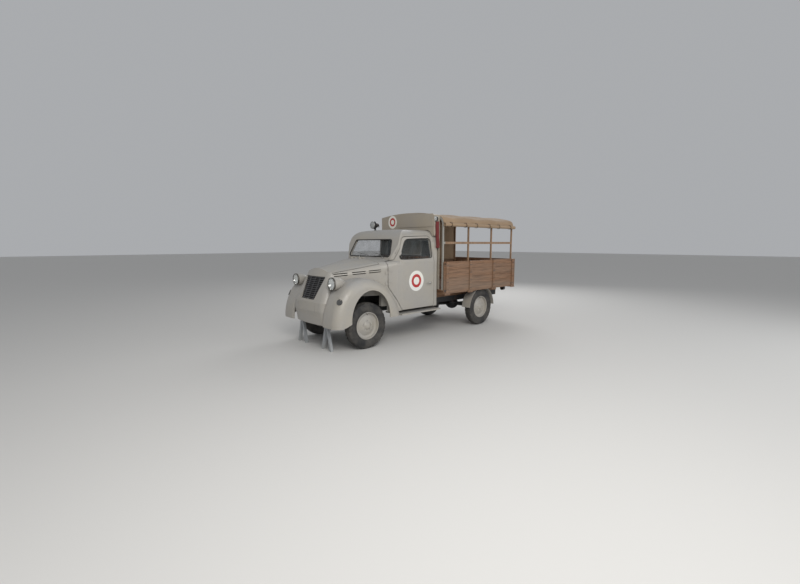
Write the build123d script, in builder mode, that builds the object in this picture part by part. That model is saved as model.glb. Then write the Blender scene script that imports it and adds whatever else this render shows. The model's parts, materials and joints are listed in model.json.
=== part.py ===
from build123d import *
import math
import os

# Light military ambulance truck with a bonnet, a steel cab and a wooden dropside bed under a hooped tilt.
# Millimetres: +X forward, +Y left, +Z up; the origin is on the floor under the middle of the truck.

os.makedirs("parts", exist_ok=True)

# Lengths along the truck
wheelbase = 2700
front_overhang = 640
rear_overhang = 1060
length = front_overhang + wheelbase + rear_overhang
axle_x = length / 2 - front_overhang
rear_axle_x = axle_x - wheelbase
tail_x = -length / 2

# Wheels and axles
tyre_r = 345
tyre_half_w = 75
rim_r = 203
rim_half_w = 56
hub_bore_r = 18
fit = 0.05
front_track = 1270
rear_track = 1330
kingpin_y = 545
kingpin_r = 12
drum_r = 150
drum_wall = 10
hub_in = 50
stub_reach = 20

# Frame
rail_y = 355
rail_w = 45
rail_h = 100
rail_z = 470
rail_wall = 6
rail_top = rail_z + rail_h
rail_front_x = axle_x + 520
rail_rear_x = tail_x + 70
hook_pitch = 100
hook_hole_r = 7
hook_z = 542
spring_half = 430
spring_w = 44
spring_low = tyre_r + 36

# Cab
cab_half = 700
cab_wall = 36
cab_low = 500
cab_top = 1790
cowl_x = axle_x - 340
cab_rear_x = axle_x - 1500
floor_z = 600
floor_t = 18
glass_t = 6
door_gap = 9
door_axis_x = axle_x - 442
door_axis_y = cab_half - 49
door_hinge_levels = (950, 1120)
door_front_x = axle_x - 445
door_rear_x = axle_x - 1400
belt_z = 1262
screen_low_x = axle_x - 545
screen_low_z = 1322
screen_top_x = axle_x - 668
screen_top_z = 1625
roof_half = cab_half - 60
roof_side = 1640
pillar_x = axle_x - 680
pillar_half = cab_half - 140

# Nose and bonnet
panel_t = 20
nose_x = axle_x + 368
hood_front_half = 335
hood_rear_half = cab_half - 108
hood_front_top = 1185
hood_rear_top = 1316
hood_front_side = 1140
hood_rear_side = 1268
hood_low = 760
panel_gap = 0.3
shut_front_z = 1112
shut_rear_z = 1240
hood_hinge_z = 1328
hood_hinges = (-110, 110)

# Front wings
wing_in = 432
wing_round_out = 130
wing_in_top = 338
wing_round_in = 150
wing_out = 795
wing_t = 16
arch_half = 352
arch_top = 880
arch_low = 460

# Load bed and tilt
bed_front_x = axle_x - 1560
bed_half = 770
floor_top = 765
plank_t = 25
ledge_y = bed_half - 55
ledge_drop = 10
board_t = 28
board_low = 690
board_top = 1240
batten_t = 20
batten_w = 60
tail_gap = 7
hinge_r = 9
hinge_pin_r = 4
hinge_z = 676
barrel = 40
hoop_w = 26
hoop_half = bed_half - 17
hoop_crown = 2090
hoop_side_top = hoop_crown - 105
canvas_t = 8
roll_r = 33
front_wall_half = cab_half - 20
front_wall_crown = hoop_crown - 7
front_wall_side = hoop_side_top + 43
front_wall_x = axle_x - 1415
wall_t = 22


def spot(x, y, z):
    """Plane across the truck at a point: local x runs left, local y runs up."""
    return Plane(origin=(x, y, z), x_dir=(0, 1, 0), z_dir=(1, 0, 0))


def side_plane(y):
    """Plane along the truck at a distance y to the left: local x runs forward, local y runs up."""
    return Plane.XZ.offset(-y)


def rounded(points, rounds):
    """Closed outline with a corner radius for each point, as a sketch face."""
    with BuildSketch() as face:
        with BuildLine():
            Polyline(*points, close=True)
        make_face()
        for point, radius in zip(points, rounds):
            if radius > 0:
                fillet(face.vertices().sort_by_distance((*point, 0))[0], radius)
    return face.sketch


# Ladder frame: two channel rails that face inwards, joined by cross members
cross_h = 44
cross_members = (rail_front_x - 110, axle_x - 860, axle_x - 1400, rear_axle_x + 560, rail_rear_x + 30)
with BuildPart() as frame:
    with BuildSketch(Plane.YZ.offset(rail_rear_x)):
        for side in (-1, 1):
            with Locations((side * rail_y, rail_z + rail_h / 2)):
                Rectangle(rail_w, rail_h)
            with Locations((side * (rail_y - rail_wall), rail_z + rail_h / 2)):
                Rectangle(rail_w, rail_h - 2 * rail_wall, mode=Mode.SUBTRACT)
    extrude(amount=rail_front_x - rail_rear_x)
    for x in cross_members:
        with BuildSketch(Plane.XZ):
            with Locations((x, rail_top - rail_wall - cross_h / 2)):
                Rectangle(50, cross_h)
        extrude(amount=rail_y + rail_w / 2 - rail_wall, both=True)
    with BuildSketch(Plane.YZ.offset(rail_rear_x)):
        with Locations((-hook_pitch / 2, hook_z), (hook_pitch / 2, hook_z)):
            Circle(hook_hole_r)
    extrude(amount=60, mode=Mode.SUBTRACT)
frame.part.label = "frame"
export_step(frame.part, "parts/frame.step")

# Front axle: a forged beam with a dropped middle, spring seats and an eye at each end
beam = [(0, 262), (290, 262), (430, 296), (kingpin_y - 12, 318), (kingpin_y - 12, 372),
        (430, 352), (rail_y + 30, spring_low), (rail_y - 30, spring_low), (290, 318), (0, 318)]
eye_half = 31
with BuildPart() as front_axle:
    with BuildSketch(Plane.YZ.offset(axle_x - 23)):
        for side in (-1, 1):
            with BuildLine():
                Polyline([(side * y, z) for y, z in beam], close=True)
            make_face()
    extrude(amount=46)
    for side in (-1, 1):
        with BuildSketch(Plane.XY.offset(tyre_r - eye_half)):
            with Locations((axle_x, side * kingpin_y)):
                Circle(20)
        extrude(amount=2 * eye_half)
        with BuildSketch(Plane.XY.offset(tyre_r - eye_half)):
            with Locations((axle_x, side * kingpin_y)):
                Circle(kingpin_r + fit)
        extrude(amount=2 * eye_half, mode=Mode.SUBTRACT)
front_axle.part.label = "front_axle"
export_step(front_axle.part, "parts/front_axle.step")

# Steering knuckles: a fork round the beam's eye, kingpin, brake plate and stub for the hub
front_wheel_y = front_track / 2
rear_wheel_y = rear_track / 2
plate_in = hub_in + 8
with BuildPart() as knuckle_left:
    with BuildSketch(Plane.XY.offset(tyre_r - eye_half - 22)):
        with Locations((axle_x, kingpin_y)):
            Circle(kingpin_r)
    extrude(amount=2 * eye_half + 44)
    for z in (tyre_r - eye_half - 22, tyre_r + eye_half + 2):
        with BuildSketch(Plane.XY.offset(z)):
            with Locations((axle_x, kingpin_y)):
                Circle(26)
            with Locations((axle_x, kingpin_y + 18)):
                Rectangle(52, 40)
        extrude(amount=20)
    with BuildSketch(side_plane(kingpin_y + 25)):
        with Locations((axle_x, tyre_r)):
            Rectangle(56, 2 * eye_half + 44)
    extrude(amount=-(front_wheel_y - plate_in - kingpin_y - 25))
    with BuildSketch(side_plane(front_wheel_y - plate_in)):
        with Locations((axle_x, tyre_r)):
            Circle(drum_r - drum_wall - 5)
    extrude(amount=-6)
    with BuildSketch(side_plane(front_wheel_y - plate_in)):
        with Locations((axle_x, tyre_r)):
            Circle(hub_bore_r)
    extrude(amount=-(plate_in + stub_reach))
knuckle_left.part.label = "knuckle_left"
export_step(knuckle_left.part, "parts/knuckle_left.step")
with BuildPart() as knuckle_right:
    add(mirror(knuckle_left.part, about=Plane.XZ))
knuckle_right.part.label = "knuckle_right"
export_step(knuckle_right.part, "parts/knuckle_right.step")

# Rear axle: tubes, differential housing, spring seats, brake plates and stubs
with BuildPart() as rear_axle:
    with BuildSketch(Plane.XZ):
        with Locations((rear_axle_x, tyre_r)):
            Circle(34)
    extrude(amount=rear_wheel_y - plate_in, both=True)
    with BuildSketch(Plane.YZ.offset(rear_axle_x)):
        with BuildLine():
            Line((-150, tyre_r), (150, tyre_r))
            ThreePointArc((150, tyre_r), (0, tyre_r + 115), (-150, tyre_r))
        make_face()
    revolve(axis=Axis((rear_axle_x, 0, tyre_r), (0, 1, 0)))
    for side in (-1, 1):
        with BuildSketch(Plane.XY.offset(tyre_r)):
            with Locations((rear_axle_x, side * rail_y)):
                Rectangle(90, 60)
        extrude(amount=spring_low - tyre_r)
        with BuildSketch(side_plane(side * (rear_wheel_y - plate_in))):
            with Locations((rear_axle_x, tyre_r)):
                Circle(drum_r - drum_wall - 5)
        extrude(amount=-side * 6)
        with BuildSketch(side_plane(side * (rear_wheel_y - plate_in))):
            with Locations((rear_axle_x, tyre_r)):
                Circle(hub_bore_r)
        extrude(amount=-side * (plate_in + stub_reach))
rear_axle.part.label = "rear_axle"
export_step(rear_axle.part, "parts/rear_axle.step")

# Leaf springs between the axles and the rails, each with its eyes and hangers
with BuildPart() as springs:
    for centre in (axle_x, rear_axle_x):
        for side in (-1, 1):
            with BuildSketch(side_plane(side * rail_y)):
                with BuildLine():
                    low = ThreePointArc((centre - spring_half, rail_z - 36), (centre, spring_low),
                                        (centre + spring_half, rail_z - 36))
                    top = ThreePointArc((centre + spring_half, rail_z - 22), (centre, spring_low + 36),
                                        (centre - spring_half, rail_z - 22))
                    Line(low @ 1, top @ 0)
                    Line(top @ 1, low @ 0)
                make_face()
                with Locations((centre - spring_half, rail_z - 28), (centre + spring_half, rail_z - 28)):
                    Circle(18)
                with Locations((centre - spring_half, rail_z - 14), (centre + spring_half, rail_z - 14)):
                    Rectangle(36, 28)
            extrude(amount=spring_w / 2, both=True)
springs.part.label = "springs"
export_step(springs.part, "parts/springs.step")

# Engine as one plain block with its gearbox and propeller shaft
engine_front_x = axle_x + 250
engine_rear_x = axle_x - 325
gearbox_rear_x = axle_x - 860 + 25
shaft_r = 28
shaft_front_z = 480
shaft_end_x = rear_axle_x + 117
with BuildPart() as power_unit:
    with BuildSketch(Plane.XY.offset(430)):
        with Locations(((engine_front_x + engine_rear_x) / 2, 0)):
            Rectangle(engine_front_x - engine_rear_x, 380)
    extrude(amount=520)
    with BuildSketch(Plane.YZ.offset(gearbox_rear_x)):
        with Locations((0, shaft_front_z)):
            RectangleRounded(220, 150, 30)
    extrude(amount=engine_rear_x - gearbox_rear_x)
    for x in (axle_x + 180, axle_x - 240):
        with BuildSketch(Plane.XY.offset(rail_top)):
            with Locations((x, 0)):
                Rectangle(60, 2 * rail_y + 30)
        extrude(amount=20)
    with BuildSketch(Plane.XY.offset(500)):
        with Locations((axle_x - 290, -215)):
            Rectangle(60, 70)
    extrude(amount=60)
    shaft_run = Vector(shaft_end_x - gearbox_rear_x, 0, tyre_r - shaft_front_z)
    with BuildSketch(Plane(origin=(gearbox_rear_x, 0, shaft_front_z), x_dir=(0, 1, 0), z_dir=shaft_run)):
        Circle(shaft_r)
    extrude(amount=shaft_run.length)
power_unit.part.label = "power_unit"
export_step(power_unit.part, "parts/power_unit.step")

# Exhaust: pipe, silencer and a tail that turns out in front of the right rear wheel
pipe_r = 20
pipe_y = -225
pipe_z = 405
pipe_route = [(axle_x - 290, pipe_y, 500), (axle_x - 290, pipe_y, pipe_z), (axle_x - 1640, pipe_y, pipe_z),
              (axle_x - 1760, -700, pipe_z)]
with BuildPart() as exhaust:
    with BuildLine() as pipe_path:
        FilletPolyline(*pipe_route, radius=[60, 90])
    with BuildSketch(Plane(origin=pipe_path.line @ 0, z_dir=pipe_path.line % 0)):
        Circle(pipe_r)
    sweep(path=pipe_path.line)
    with BuildSketch(Plane.YZ.offset(axle_x - 1450)):
        with Locations((pipe_y, pipe_z)):
            Circle(62)
    extrude(amount=480)
    with BuildSketch(Plane.XY.offset(pipe_z + 40)):
        with Locations((axle_x - 1400, pipe_y)):
            Rectangle(20, 30)
    extrude(amount=rail_top - rail_wall - cross_h - pipe_z - 40)
exhaust.part.label = "exhaust"
export_step(exhaust.part, "parts/exhaust.step")

# Fuel tank between the left rail and the propeller shaft
tank_front_x = axle_x - 1500
with BuildPart() as fuel_tank:
    with BuildSketch(Plane.YZ.offset(tank_front_x - 420)):
        with Locations(((70 + rail_y - rail_w / 2) / 2, rail_z - 2)):
            RectangleRounded(rail_y - rail_w / 2 - 70, 130, 30)
    extrude(amount=420)
fuel_tank.part.label = "fuel_tank"
export_step(fuel_tank.part, "parts/fuel_tank.step")

# Radiator on the front cross member, behind the grille
with BuildPart() as radiator:
    with BuildSketch(Plane.XY.offset(rail_top - rail_wall)):
        with Locations((rail_front_x - 110, 0)):
            Rectangle(50, 480)
    extrude(amount=480)
radiator.part.label = "radiator"
export_step(radiator.part, "parts/radiator.step")


def body_section(x, half, low, side_z, crown_z, shoulder):
    """Section across the truck: upright sides, round shoulders and a shallow crown."""
    with BuildSketch(Plane.YZ.offset(x)) as section:
        with BuildLine():
            near = 0.293 * shoulder
            Polyline((-half, side_z - shoulder), (-half, low), (half, low), (half, side_z - shoulder))
            ThreePointArc((half, side_z - shoulder), (half - near, side_z - near), (half - shoulder, side_z))
            ThreePointArc((half - shoulder, side_z), (0, crown_z), (shoulder - half, side_z))
            ThreePointArc((shoulder - half, side_z), (near - half, side_z - near), (-half, side_z - shoulder))
        make_face()
    return section.sketch


def hood_form(inset):
    """Bonnet body from the cowl to the nose, as one closed form; inset makes the inner one."""
    with BuildPart() as form:
        front = body_section(nose_x, hood_front_half - inset, hood_low, hood_front_side - inset,
                             hood_front_top - inset, 105 - inset)
        rear = body_section(cowl_x, hood_rear_half - inset, hood_low, hood_rear_side - inset,
                            hood_rear_top - inset, 125 - inset)
        loft([front, rear], ruled=True)
    return form.part


def above_shut():
    """Everything above the slanted shut line between the bonnet and its sides."""
    with BuildPart() as part_above:
        with BuildSketch(Plane.XZ):
            with BuildLine():
                Polyline((nose_x + 200, shut_front_z - 30), (cowl_x - 10, shut_rear_z), (cowl_x - 10, 1600),
                         (nose_x + 200, 1600), close=True)
            make_face()
        extrude(amount=900, both=True)
    return part_above.part


# Bonnet: the lid above the shut line, hinged at the cowl
with BuildPart() as bonnet:
    add(hood_form(0))
    add(hood_form(panel_t), mode=Mode.SUBTRACT)
    add(above_shut(), mode=Mode.INTERSECT)
    with BuildSketch(Plane.YZ.offset(cowl_x)):
        Rectangle(2000, 4000)
    extrude(amount=8, mode=Mode.SUBTRACT)
    for y in hood_hinges:
        with BuildSketch(side_plane(y - 1)):
            with Locations((cowl_x, hood_hinge_z)):
                Circle(hinge_r)
            with Locations((cowl_x + 30, hood_hinge_z - 13)):
                Rectangle(60, 26)
        extrude(amount=barrel / 2)
        with BuildSketch(side_plane(y - 1)):
            with Locations((cowl_x, hood_hinge_z)):
                Circle(hinge_pin_r + fit)
        extrude(amount=barrel / 2, mode=Mode.SUBTRACT)
bonnet.part.label = "bonnet"
export_step(bonnet.part, "parts/bonnet.step")

# Louvred sides below the shut line: three groups of two slots a side
louvres = ((axle_x + 245, 1092), (axle_x - 15, 1112), (axle_x - 255, 1130))
louvre_long = 200
louvre_high = 13
louvre_pitch = 30
with BuildPart() as bonnet_sides:
    add(hood_form(0))
    add(hood_form(panel_t), mode=Mode.SUBTRACT)
    add(above_shut().moved(Location((0, 0, -6))), mode=Mode.SUBTRACT)
    with BuildSketch(Plane.XY.offset(hood_low)):
        with Locations(((nose_x + cowl_x) / 2, 0)):
            Rectangle(nose_x - cowl_x + 4, 2 * 60)
    extrude(amount=30, mode=Mode.SUBTRACT)
    for x, z in louvres:
        with BuildSketch(Plane(origin=(x, 0, z), x_dir=(1, 0, -0.07), z_dir=(0, 1, 0))):
            with Locations((0, -louvre_pitch / 2), (0, louvre_pitch / 2)):
                SlotOverall(louvre_long, louvre_high)
        extrude(amount=cab_half, both=True, mode=Mode.SUBTRACT)
bonnet_sides.part.label = "bonnet_sides"
export_step(bonnet_sides.part, "parts/bonnet_sides.step")


def cab_form(inset):
    """Scuttle, lower cab and rounded roof as one closed form; inset makes the inner one."""
    with BuildPart() as form:
        with BuildSketch(Plane.XZ):
            with BuildLine():
                screen = Line((screen_low_x, screen_low_z), (screen_top_x, screen_top_z))
                brow = TangentArc(screen @ 1, (axle_x - 800, cab_top - 38), tangent=screen % 1)
                ThreePointArc(brow @ 1, (axle_x - 1120, cab_top), (axle_x - 1420, cab_top - 30))
                ThreePointArc((axle_x - 1420, cab_top - 30), (axle_x - 1482, cab_top - 56), (cab_rear_x, cab_top - 120))
                Polyline((cab_rear_x, cab_top - 120), (cab_rear_x, cab_low - 200), (screen_low_x, cab_low - 200), screen @ 0)
            make_face()
            offset(amount=-inset, kind=Kind.INTERSECTION)
        extrude(amount=1000, both=True)
        with BuildSketch(Plane.YZ.offset(tail_x)):
            with BuildLine():
                Polyline((-roof_half, roof_side), (-cab_half, belt_z), (-cab_half, cab_low - 200),
                         (cab_half, cab_low - 200), (cab_half, belt_z), (roof_half, roof_side))
                ThreePointArc((roof_half, roof_side), (roof_half - 38, roof_side + 72), (roof_half - 120, cab_top - 24))
                ThreePointArc((roof_half - 120, cab_top - 24), (0, cab_top), (120 - roof_half, cab_top - 24))
                ThreePointArc((120 - roof_half, cab_top - 24), (38 - roof_half, roof_side + 72), (-roof_half, roof_side))
            make_face()
            offset(amount=-inset, kind=Kind.INTERSECTION)
        extrude(amount=length, mode=Mode.INTERSECT)
        with BuildSketch(Plane.XY):
            with BuildLine():
                Polyline((cab_rear_x, -cab_half), (pillar_x, -cab_half), (screen_low_x + 6, -pillar_half),
                         (screen_low_x + 6, pillar_half), (pillar_x, cab_half), (cab_rear_x, cab_half), close=True)
            make_face()
            fillet(vertices().filter_by(lambda v: abs(v.X - cab_rear_x) < 1), 45)
            fillet(vertices().filter_by(lambda v: abs(v.X - pillar_x) < 1 or abs(v.X - screen_low_x - 6) < 1), 90)
            offset(amount=-inset, kind=Kind.INTERSECTION)
        extrude(amount=2500, mode=Mode.INTERSECT)
        cowl = body_section(cowl_x - max(inset, 0), hood_rear_half - inset, cab_low - 200, hood_rear_side - inset,
                            hood_rear_top - inset, 125 - inset)
        waist, back = [body_section(x, cab_half - inset, cab_low - 200, belt_z + 16 - inset, 1338 - inset, 60 - inset)
                       for x in (axle_x - 585, axle_x - 700)]
        loft([cowl, waist, back], ruled=True)
    return form.part


# Nose: a bowed shell round the grille, from the bonnet's edge down to the valance, open behind
grille_top_z = 1065
grille_low_z = 735
grille_top_half = 262
grille_low_half = 190
valance_low = 375
nose_front_x = length / 2
nose_levels = ((1200, 318, axle_x + 402), (700, wing_in, axle_x + 626), (575, wing_in, nose_front_x),
               (valance_low, wing_in, axle_x + 592))
seam_y = 245
grille_opening = rounded([(-grille_low_half, grille_low_z), (-grille_top_half, grille_top_z),
                          (grille_top_half, grille_top_z), (grille_low_half, grille_low_z)], (16, 16, 16, 16))


def nose_form(inset):
    """Nose as one closed form through level sections; inset makes the inner one."""
    with BuildPart() as form:
        sections = []
        for z, half, front in nose_levels:
            low = z - 100 if inset > 0 and z == valance_low else z
            side, tip = half - inset, front - inset
            with BuildSketch(Plane.XY.offset(low)) as level:
                with BuildLine():
                    Polyline((tip - 125, side), (nose_x - 200, side), (nose_x - 200, -side), (tip - 125, -side))
                    ThreePointArc((tip - 125, -side), (tip - 58, 26 - side), (tip - 26, 95 - side))
                    ThreePointArc((tip - 26, 95 - side), (tip, 0), (tip - 26, side - 95))
                    ThreePointArc((tip - 26, side - 95), (tip - 58, side - 26), (tip - 125, side))
                make_face()
            sections.append(level.sketch)
        loft(sections[::-1], ruled=True)
        with BuildSketch(Plane.XZ):
            with BuildLine():
                top = hood_front_top - inset
                Polyline((nose_x - 150, top + 6), (nose_x - 150, 0), (nose_front_x + 50, 0), (nose_front_x + 50, top - 130),
                         (nose_x + 120, top - 70))
                ThreePointArc((nose_x + 120, top - 70), (nose_x + 62, top - 14), (nose_x - 20, top + 2))
                Line((nose_x - 20, top + 2), (nose_x - 150, top + 6))
            make_face()
        extrude(amount=1000, both=True, mode=Mode.INTERSECT)
        extrude(body_section(nose_x - 120, 480 - inset, 0, hood_front_side - inset, hood_front_top - inset, 480 - hood_front_half + 105 - inset),
                amount=500, mode=Mode.INTERSECT)
    return form.part


with BuildPart() as nose:
    add(nose_form(0))
    for side in (-1, 1):
        with BuildSketch(Plane.YZ.offset(axle_x + 540)):
            with Locations((side * seam_y, valance_low + 150)):
                Rectangle(5, 310)
        extrude(amount=200, mode=Mode.SUBTRACT)
    add(nose_form(5))
    add(nose_form(panel_t), mode=Mode.SUBTRACT)
    split(bisect_by=Plane.YZ.offset(nose_x + panel_gap), keep=Keep.TOP)
    split(bisect_by=Plane.XY.offset(valance_low), keep=Keep.TOP)
    with BuildSketch(Plane.YZ.offset(nose_x)):
        add(grille_opening)
    extrude(amount=500, mode=Mode.SUBTRACT)
nose.part.label = "nose"
export_step(nose.part, "parts/nose.step")

# Grille: level slats on uprights, set in the surround
slat_count = 12
slat_back = 10
slat_deep = 16
slat_high = 9
grille_slope = (nose_levels[0][2] - nose_levels[1][2]) / (nose_levels[0][0] - nose_levels[1][0])
grille_low_x = nose_levels[1][2] + grille_slope * (grille_low_z - nose_levels[1][0]) - slat_back
grille_rise = grille_top_z - grille_low_z
grille_bow = 22
with BuildPart() as grille:
    for index in range(slat_count):
        share = (index + 0.5) / slat_count
        half = grille_low_half + share * (grille_top_half - grille_low_half) - 0.3
        tip = grille_low_x + grille_slope * share * grille_rise
        bow = grille_bow * (half / grille_top_half) ** 2
        with BuildSketch(Plane.XY.offset(grille_low_z + share * grille_rise - slat_high / 2)):
            with BuildLine():
                ThreePointArc((tip - bow, half), (tip, 0), (tip - bow, -half))
                Line((tip - bow, -half), (tip - bow - slat_deep, -half))
                ThreePointArc((tip - bow - slat_deep, -half), (tip - slat_deep, 0), (tip - bow - slat_deep, half))
                Line((tip - bow - slat_deep, half), (tip - bow, half))
            make_face()
        extrude(amount=slat_high)
    for y in (-130, 0, 130):
        with BuildSketch(side_plane(y)):
            with BuildLine():
                low = grille_low_x - slat_deep
                high = low + grille_slope * grille_rise
                Polyline((low - 10, grille_low_z + 0.3), (low + 4, grille_low_z + 0.3), (high + 4, grille_top_z - 0.3),
                         (high - 10, grille_top_z - 0.3), close=True)
            make_face()
        extrude(amount=6, both=True)
    with BuildSketch(Plane.YZ.offset(nose_x)):
        add(grille_opening)
        offset(amount=-panel_gap, kind=Kind.INTERSECTION)
    extrude(amount=500, mode=Mode.INTERSECT)
grille.part.label = "grille"
export_step(grille.part, "parts/grille.step")

# Front wings: pontoons with rounded shoulders that fall to the bonnet, open below and towards the frame
wing_tail = (axle_x - 605, 440)
wing_mid = (axle_x - 395, 845)
wing_crown = (axle_x - 60, 1030)
wing_brow = (axle_x + 520, 770)
wing_toe = (axle_x + 618, 400)
mark_x = axle_x + 480
mark_y = 700
mark_z = 758
mark_r = 45


def wing_form(inset):
    """Left wing as one closed form; inset makes the hollow."""
    with BuildPart() as form:
        with BuildSketch(side_plane(wing_out - inset)):
            with BuildLine():
                back = ThreePointArc(wing_tail, wing_mid, wing_crown)
                front = TangentArc(wing_crown, wing_brow, tangent=back % 1)
                toe = TangentArc(wing_brow, wing_toe, tangent=front % 1)
                Polyline(toe @ 1, (wing_toe[0], 250), (wing_tail[0], 250), back @ 0)
            make_face()
            if inset > 0:
                offset(amount=-inset, kind=Kind.INTERSECTION)
        extrude(amount=wing_out - wing_in_top - 2 * inset)
        high = form.edges().filter_by(lambda e: e.center().Z > 470 and abs(e.tangent_at(0.5).Y) < 0.01)
        fillet(high.filter_by(lambda e: e.center().Y > wing_out - inset - 0.1), wing_round_out - inset)
        fillet(high.filter_by(lambda e: e.center().Y < wing_in_top + inset + 0.1), wing_round_in - inset)
    return form.part


with BuildPart() as wing_left:
    add(wing_form(0))
    add(wing_form(wing_t), mode=Mode.SUBTRACT)
    with BuildSketch(Plane.XZ):
        with BuildLine():
            Polyline((wing_tail[0] - 60, 0), (wing_tail[0] - 60, 442), (axle_x - 340, 442), (axle_x + 340, 432),
                     (axle_x + 440, 392), (axle_x + 510, valance_low), (nose_front_x + 20, valance_low), (nose_front_x + 20, 0), close=True)
        make_face()
    extrude(amount=-wing_out - 10, mode=Mode.SUBTRACT)
    with BuildSketch(side_plane(wing_in)):
        with Locations((axle_x, hood_low / 2)):
            Rectangle(1500, hood_low)
    extrude(amount=wing_in, mode=Mode.SUBTRACT)
    with BuildSketch(side_plane(wing_out + 10)):
        with Locations((axle_x, arch_low)):
            Ellipse(arch_half, arch_top - arch_low)
        with Locations((axle_x, arch_low - 150)):
            Rectangle(2 * arch_half, 300)
    extrude(amount=wing_t + 160, mode=Mode.SUBTRACT)
    add(hood_form(-panel_gap), mode=Mode.SUBTRACT)
    add(cab_form(-panel_gap), mode=Mode.SUBTRACT)
    add(nose_form(-panel_gap), mode=Mode.SUBTRACT)
    with BuildSketch(Plane.YZ.offset(mark_x + 24)):
        with Locations((mark_y, mark_z)):
            Circle(mark_r)
    extrude(amount=-60)
    add(wing_form(wing_t), mode=Mode.SUBTRACT)
wing_left.part.label = "wing_left"
export_step(wing_left.part, "parts/wing_left.step")
with BuildPart() as wing_right:
    add(mirror(wing_left.part, about=Plane.XZ))
wing_right.part.label = "wing_right"
export_step(wing_right.part, "parts/wing_right.step")

# Headlamps: bullet shells beside the grille, each with its lens
lamp_x = axle_x + 500
lamp_y = 520
lamp_z = 985
lamp_r = 92
lamp_tail = 250
lens_r = lamp_r - 8
lens_dome = 22
lens_ball = (lens_r ** 2 + lens_dome ** 2) / (2 * lens_dome)
with BuildPart() as headlamps:
    for side in (-1, 1):
        with BuildSketch(Plane.XZ.offset(-side * lamp_y)):
            with BuildLine():
                Polyline((lamp_x, lamp_z), (lamp_x, lamp_z + lamp_r), (lamp_x - 25, lamp_z + lamp_r))
                ThreePointArc((lamp_x - 25, lamp_z + lamp_r), (lamp_x - 150, lamp_z + 66), (lamp_x - lamp_tail, lamp_z))
                Line((lamp_x - lamp_tail, lamp_z), (lamp_x, lamp_z))
            make_face()
        revolve(axis=Axis((lamp_x, side * lamp_y, lamp_z), (1, 0, 0)))
        with BuildSketch(Plane.XY.offset(lamp_z - 200)):
            with Locations((lamp_x - 100, side * lamp_y)):
                Circle(24)
        extrude(amount=150)
    add(wing_form(0), mode=Mode.SUBTRACT)
    add(mirror(wing_form(0), about=Plane.XZ), mode=Mode.SUBTRACT)
headlamps.part.label = "headlamps"
export_step(headlamps.part, "parts/headlamps.step")

with BuildPart() as lamp_lenses:
    for side in (-1, 1):
        with BuildSketch(Plane.XZ.offset(-side * lamp_y)):
            with BuildLine():
                Polyline((lamp_x, lamp_z), (lamp_x, lamp_z + lens_r), (lamp_x + 4, lamp_z + lens_r))
                RadiusArc((lamp_x + 4, lamp_z + lens_r), (lamp_x + 4 + lens_dome, lamp_z), lens_ball)
                Line((lamp_x + 4 + lens_dome, lamp_z), (lamp_x, lamp_z))
            make_face()
        revolve(axis=Axis((lamp_x, side * lamp_y, lamp_z), (1, 0, 0)))
lamp_lenses.part.label = "lamp_lenses"
export_step(lamp_lenses.part, "parts/lamp_lenses.step")


def hinge_plane(z):
    """Level plane at a left door hinge: local x runs forward along the slanted skin, local y outward."""
    return Plane(origin=(door_axis_x, door_axis_y, z), x_dir=(225, -100, 0), z_dir=(0, 0, 1))


def door_pins():
    """Fixed halves of the left door's hinges, each with its pin."""
    with BuildPart() as pins:
        for level in door_hinge_levels:
            with BuildSketch(hinge_plane(level - barrel)):
                Circle(hinge_r)
                with Locations((25, -6)):
                    Rectangle(50, 6)
                with Locations((34, -11)):
                    Rectangle(32, 16)
            extrude(amount=barrel)
            with BuildSketch(hinge_plane(level - barrel)):
                Circle(hinge_pin_r)
            extrude(amount=2 * barrel)
    return pins.part


door_foot = 890
door_toe_x = axle_x - 682
door_outline = [(door_front_x, door_foot), (door_front_x, belt_z), (axle_x - 588, belt_z + 30), (axle_x - 728, 1652),
                (axle_x - 1352, 1672), (door_rear_x, belt_z), (door_rear_x, cab_low + 5), (door_toe_x, cab_low + 5)]
door_rounds = (60, 0, 40, 90, 70, 120, 45, 45)
window_outline = [(axle_x - 628, 1303), (axle_x - 790, 1612), (axle_x - 1345, 1632), (axle_x - 1360, 1318)]
window_rounds = (40, 120, 55, 40)


def door_prism(grow):
    """Door outline through the left side; grow adds the gap round it."""
    with BuildPart() as prism:
        with BuildSketch(side_plane(900)):
            add(rounded(door_outline, door_rounds))
            if grow > 0:
                offset(amount=grow, kind=Kind.INTERSECTION)
        extrude(amount=420)
    return prism.part


def screen_outline(grow):
    """Windscreen opening seen from the front."""
    with BuildSketch(Plane.YZ.offset(axle_x - 750)) as face:
        add(rounded([(-542, 1346), (-470, 1606), (470, 1606), (542, 1346)], (42, 42, 42, 42)))
        if grow != 0:
            offset(amount=grow)
    return face.sketch


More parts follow.
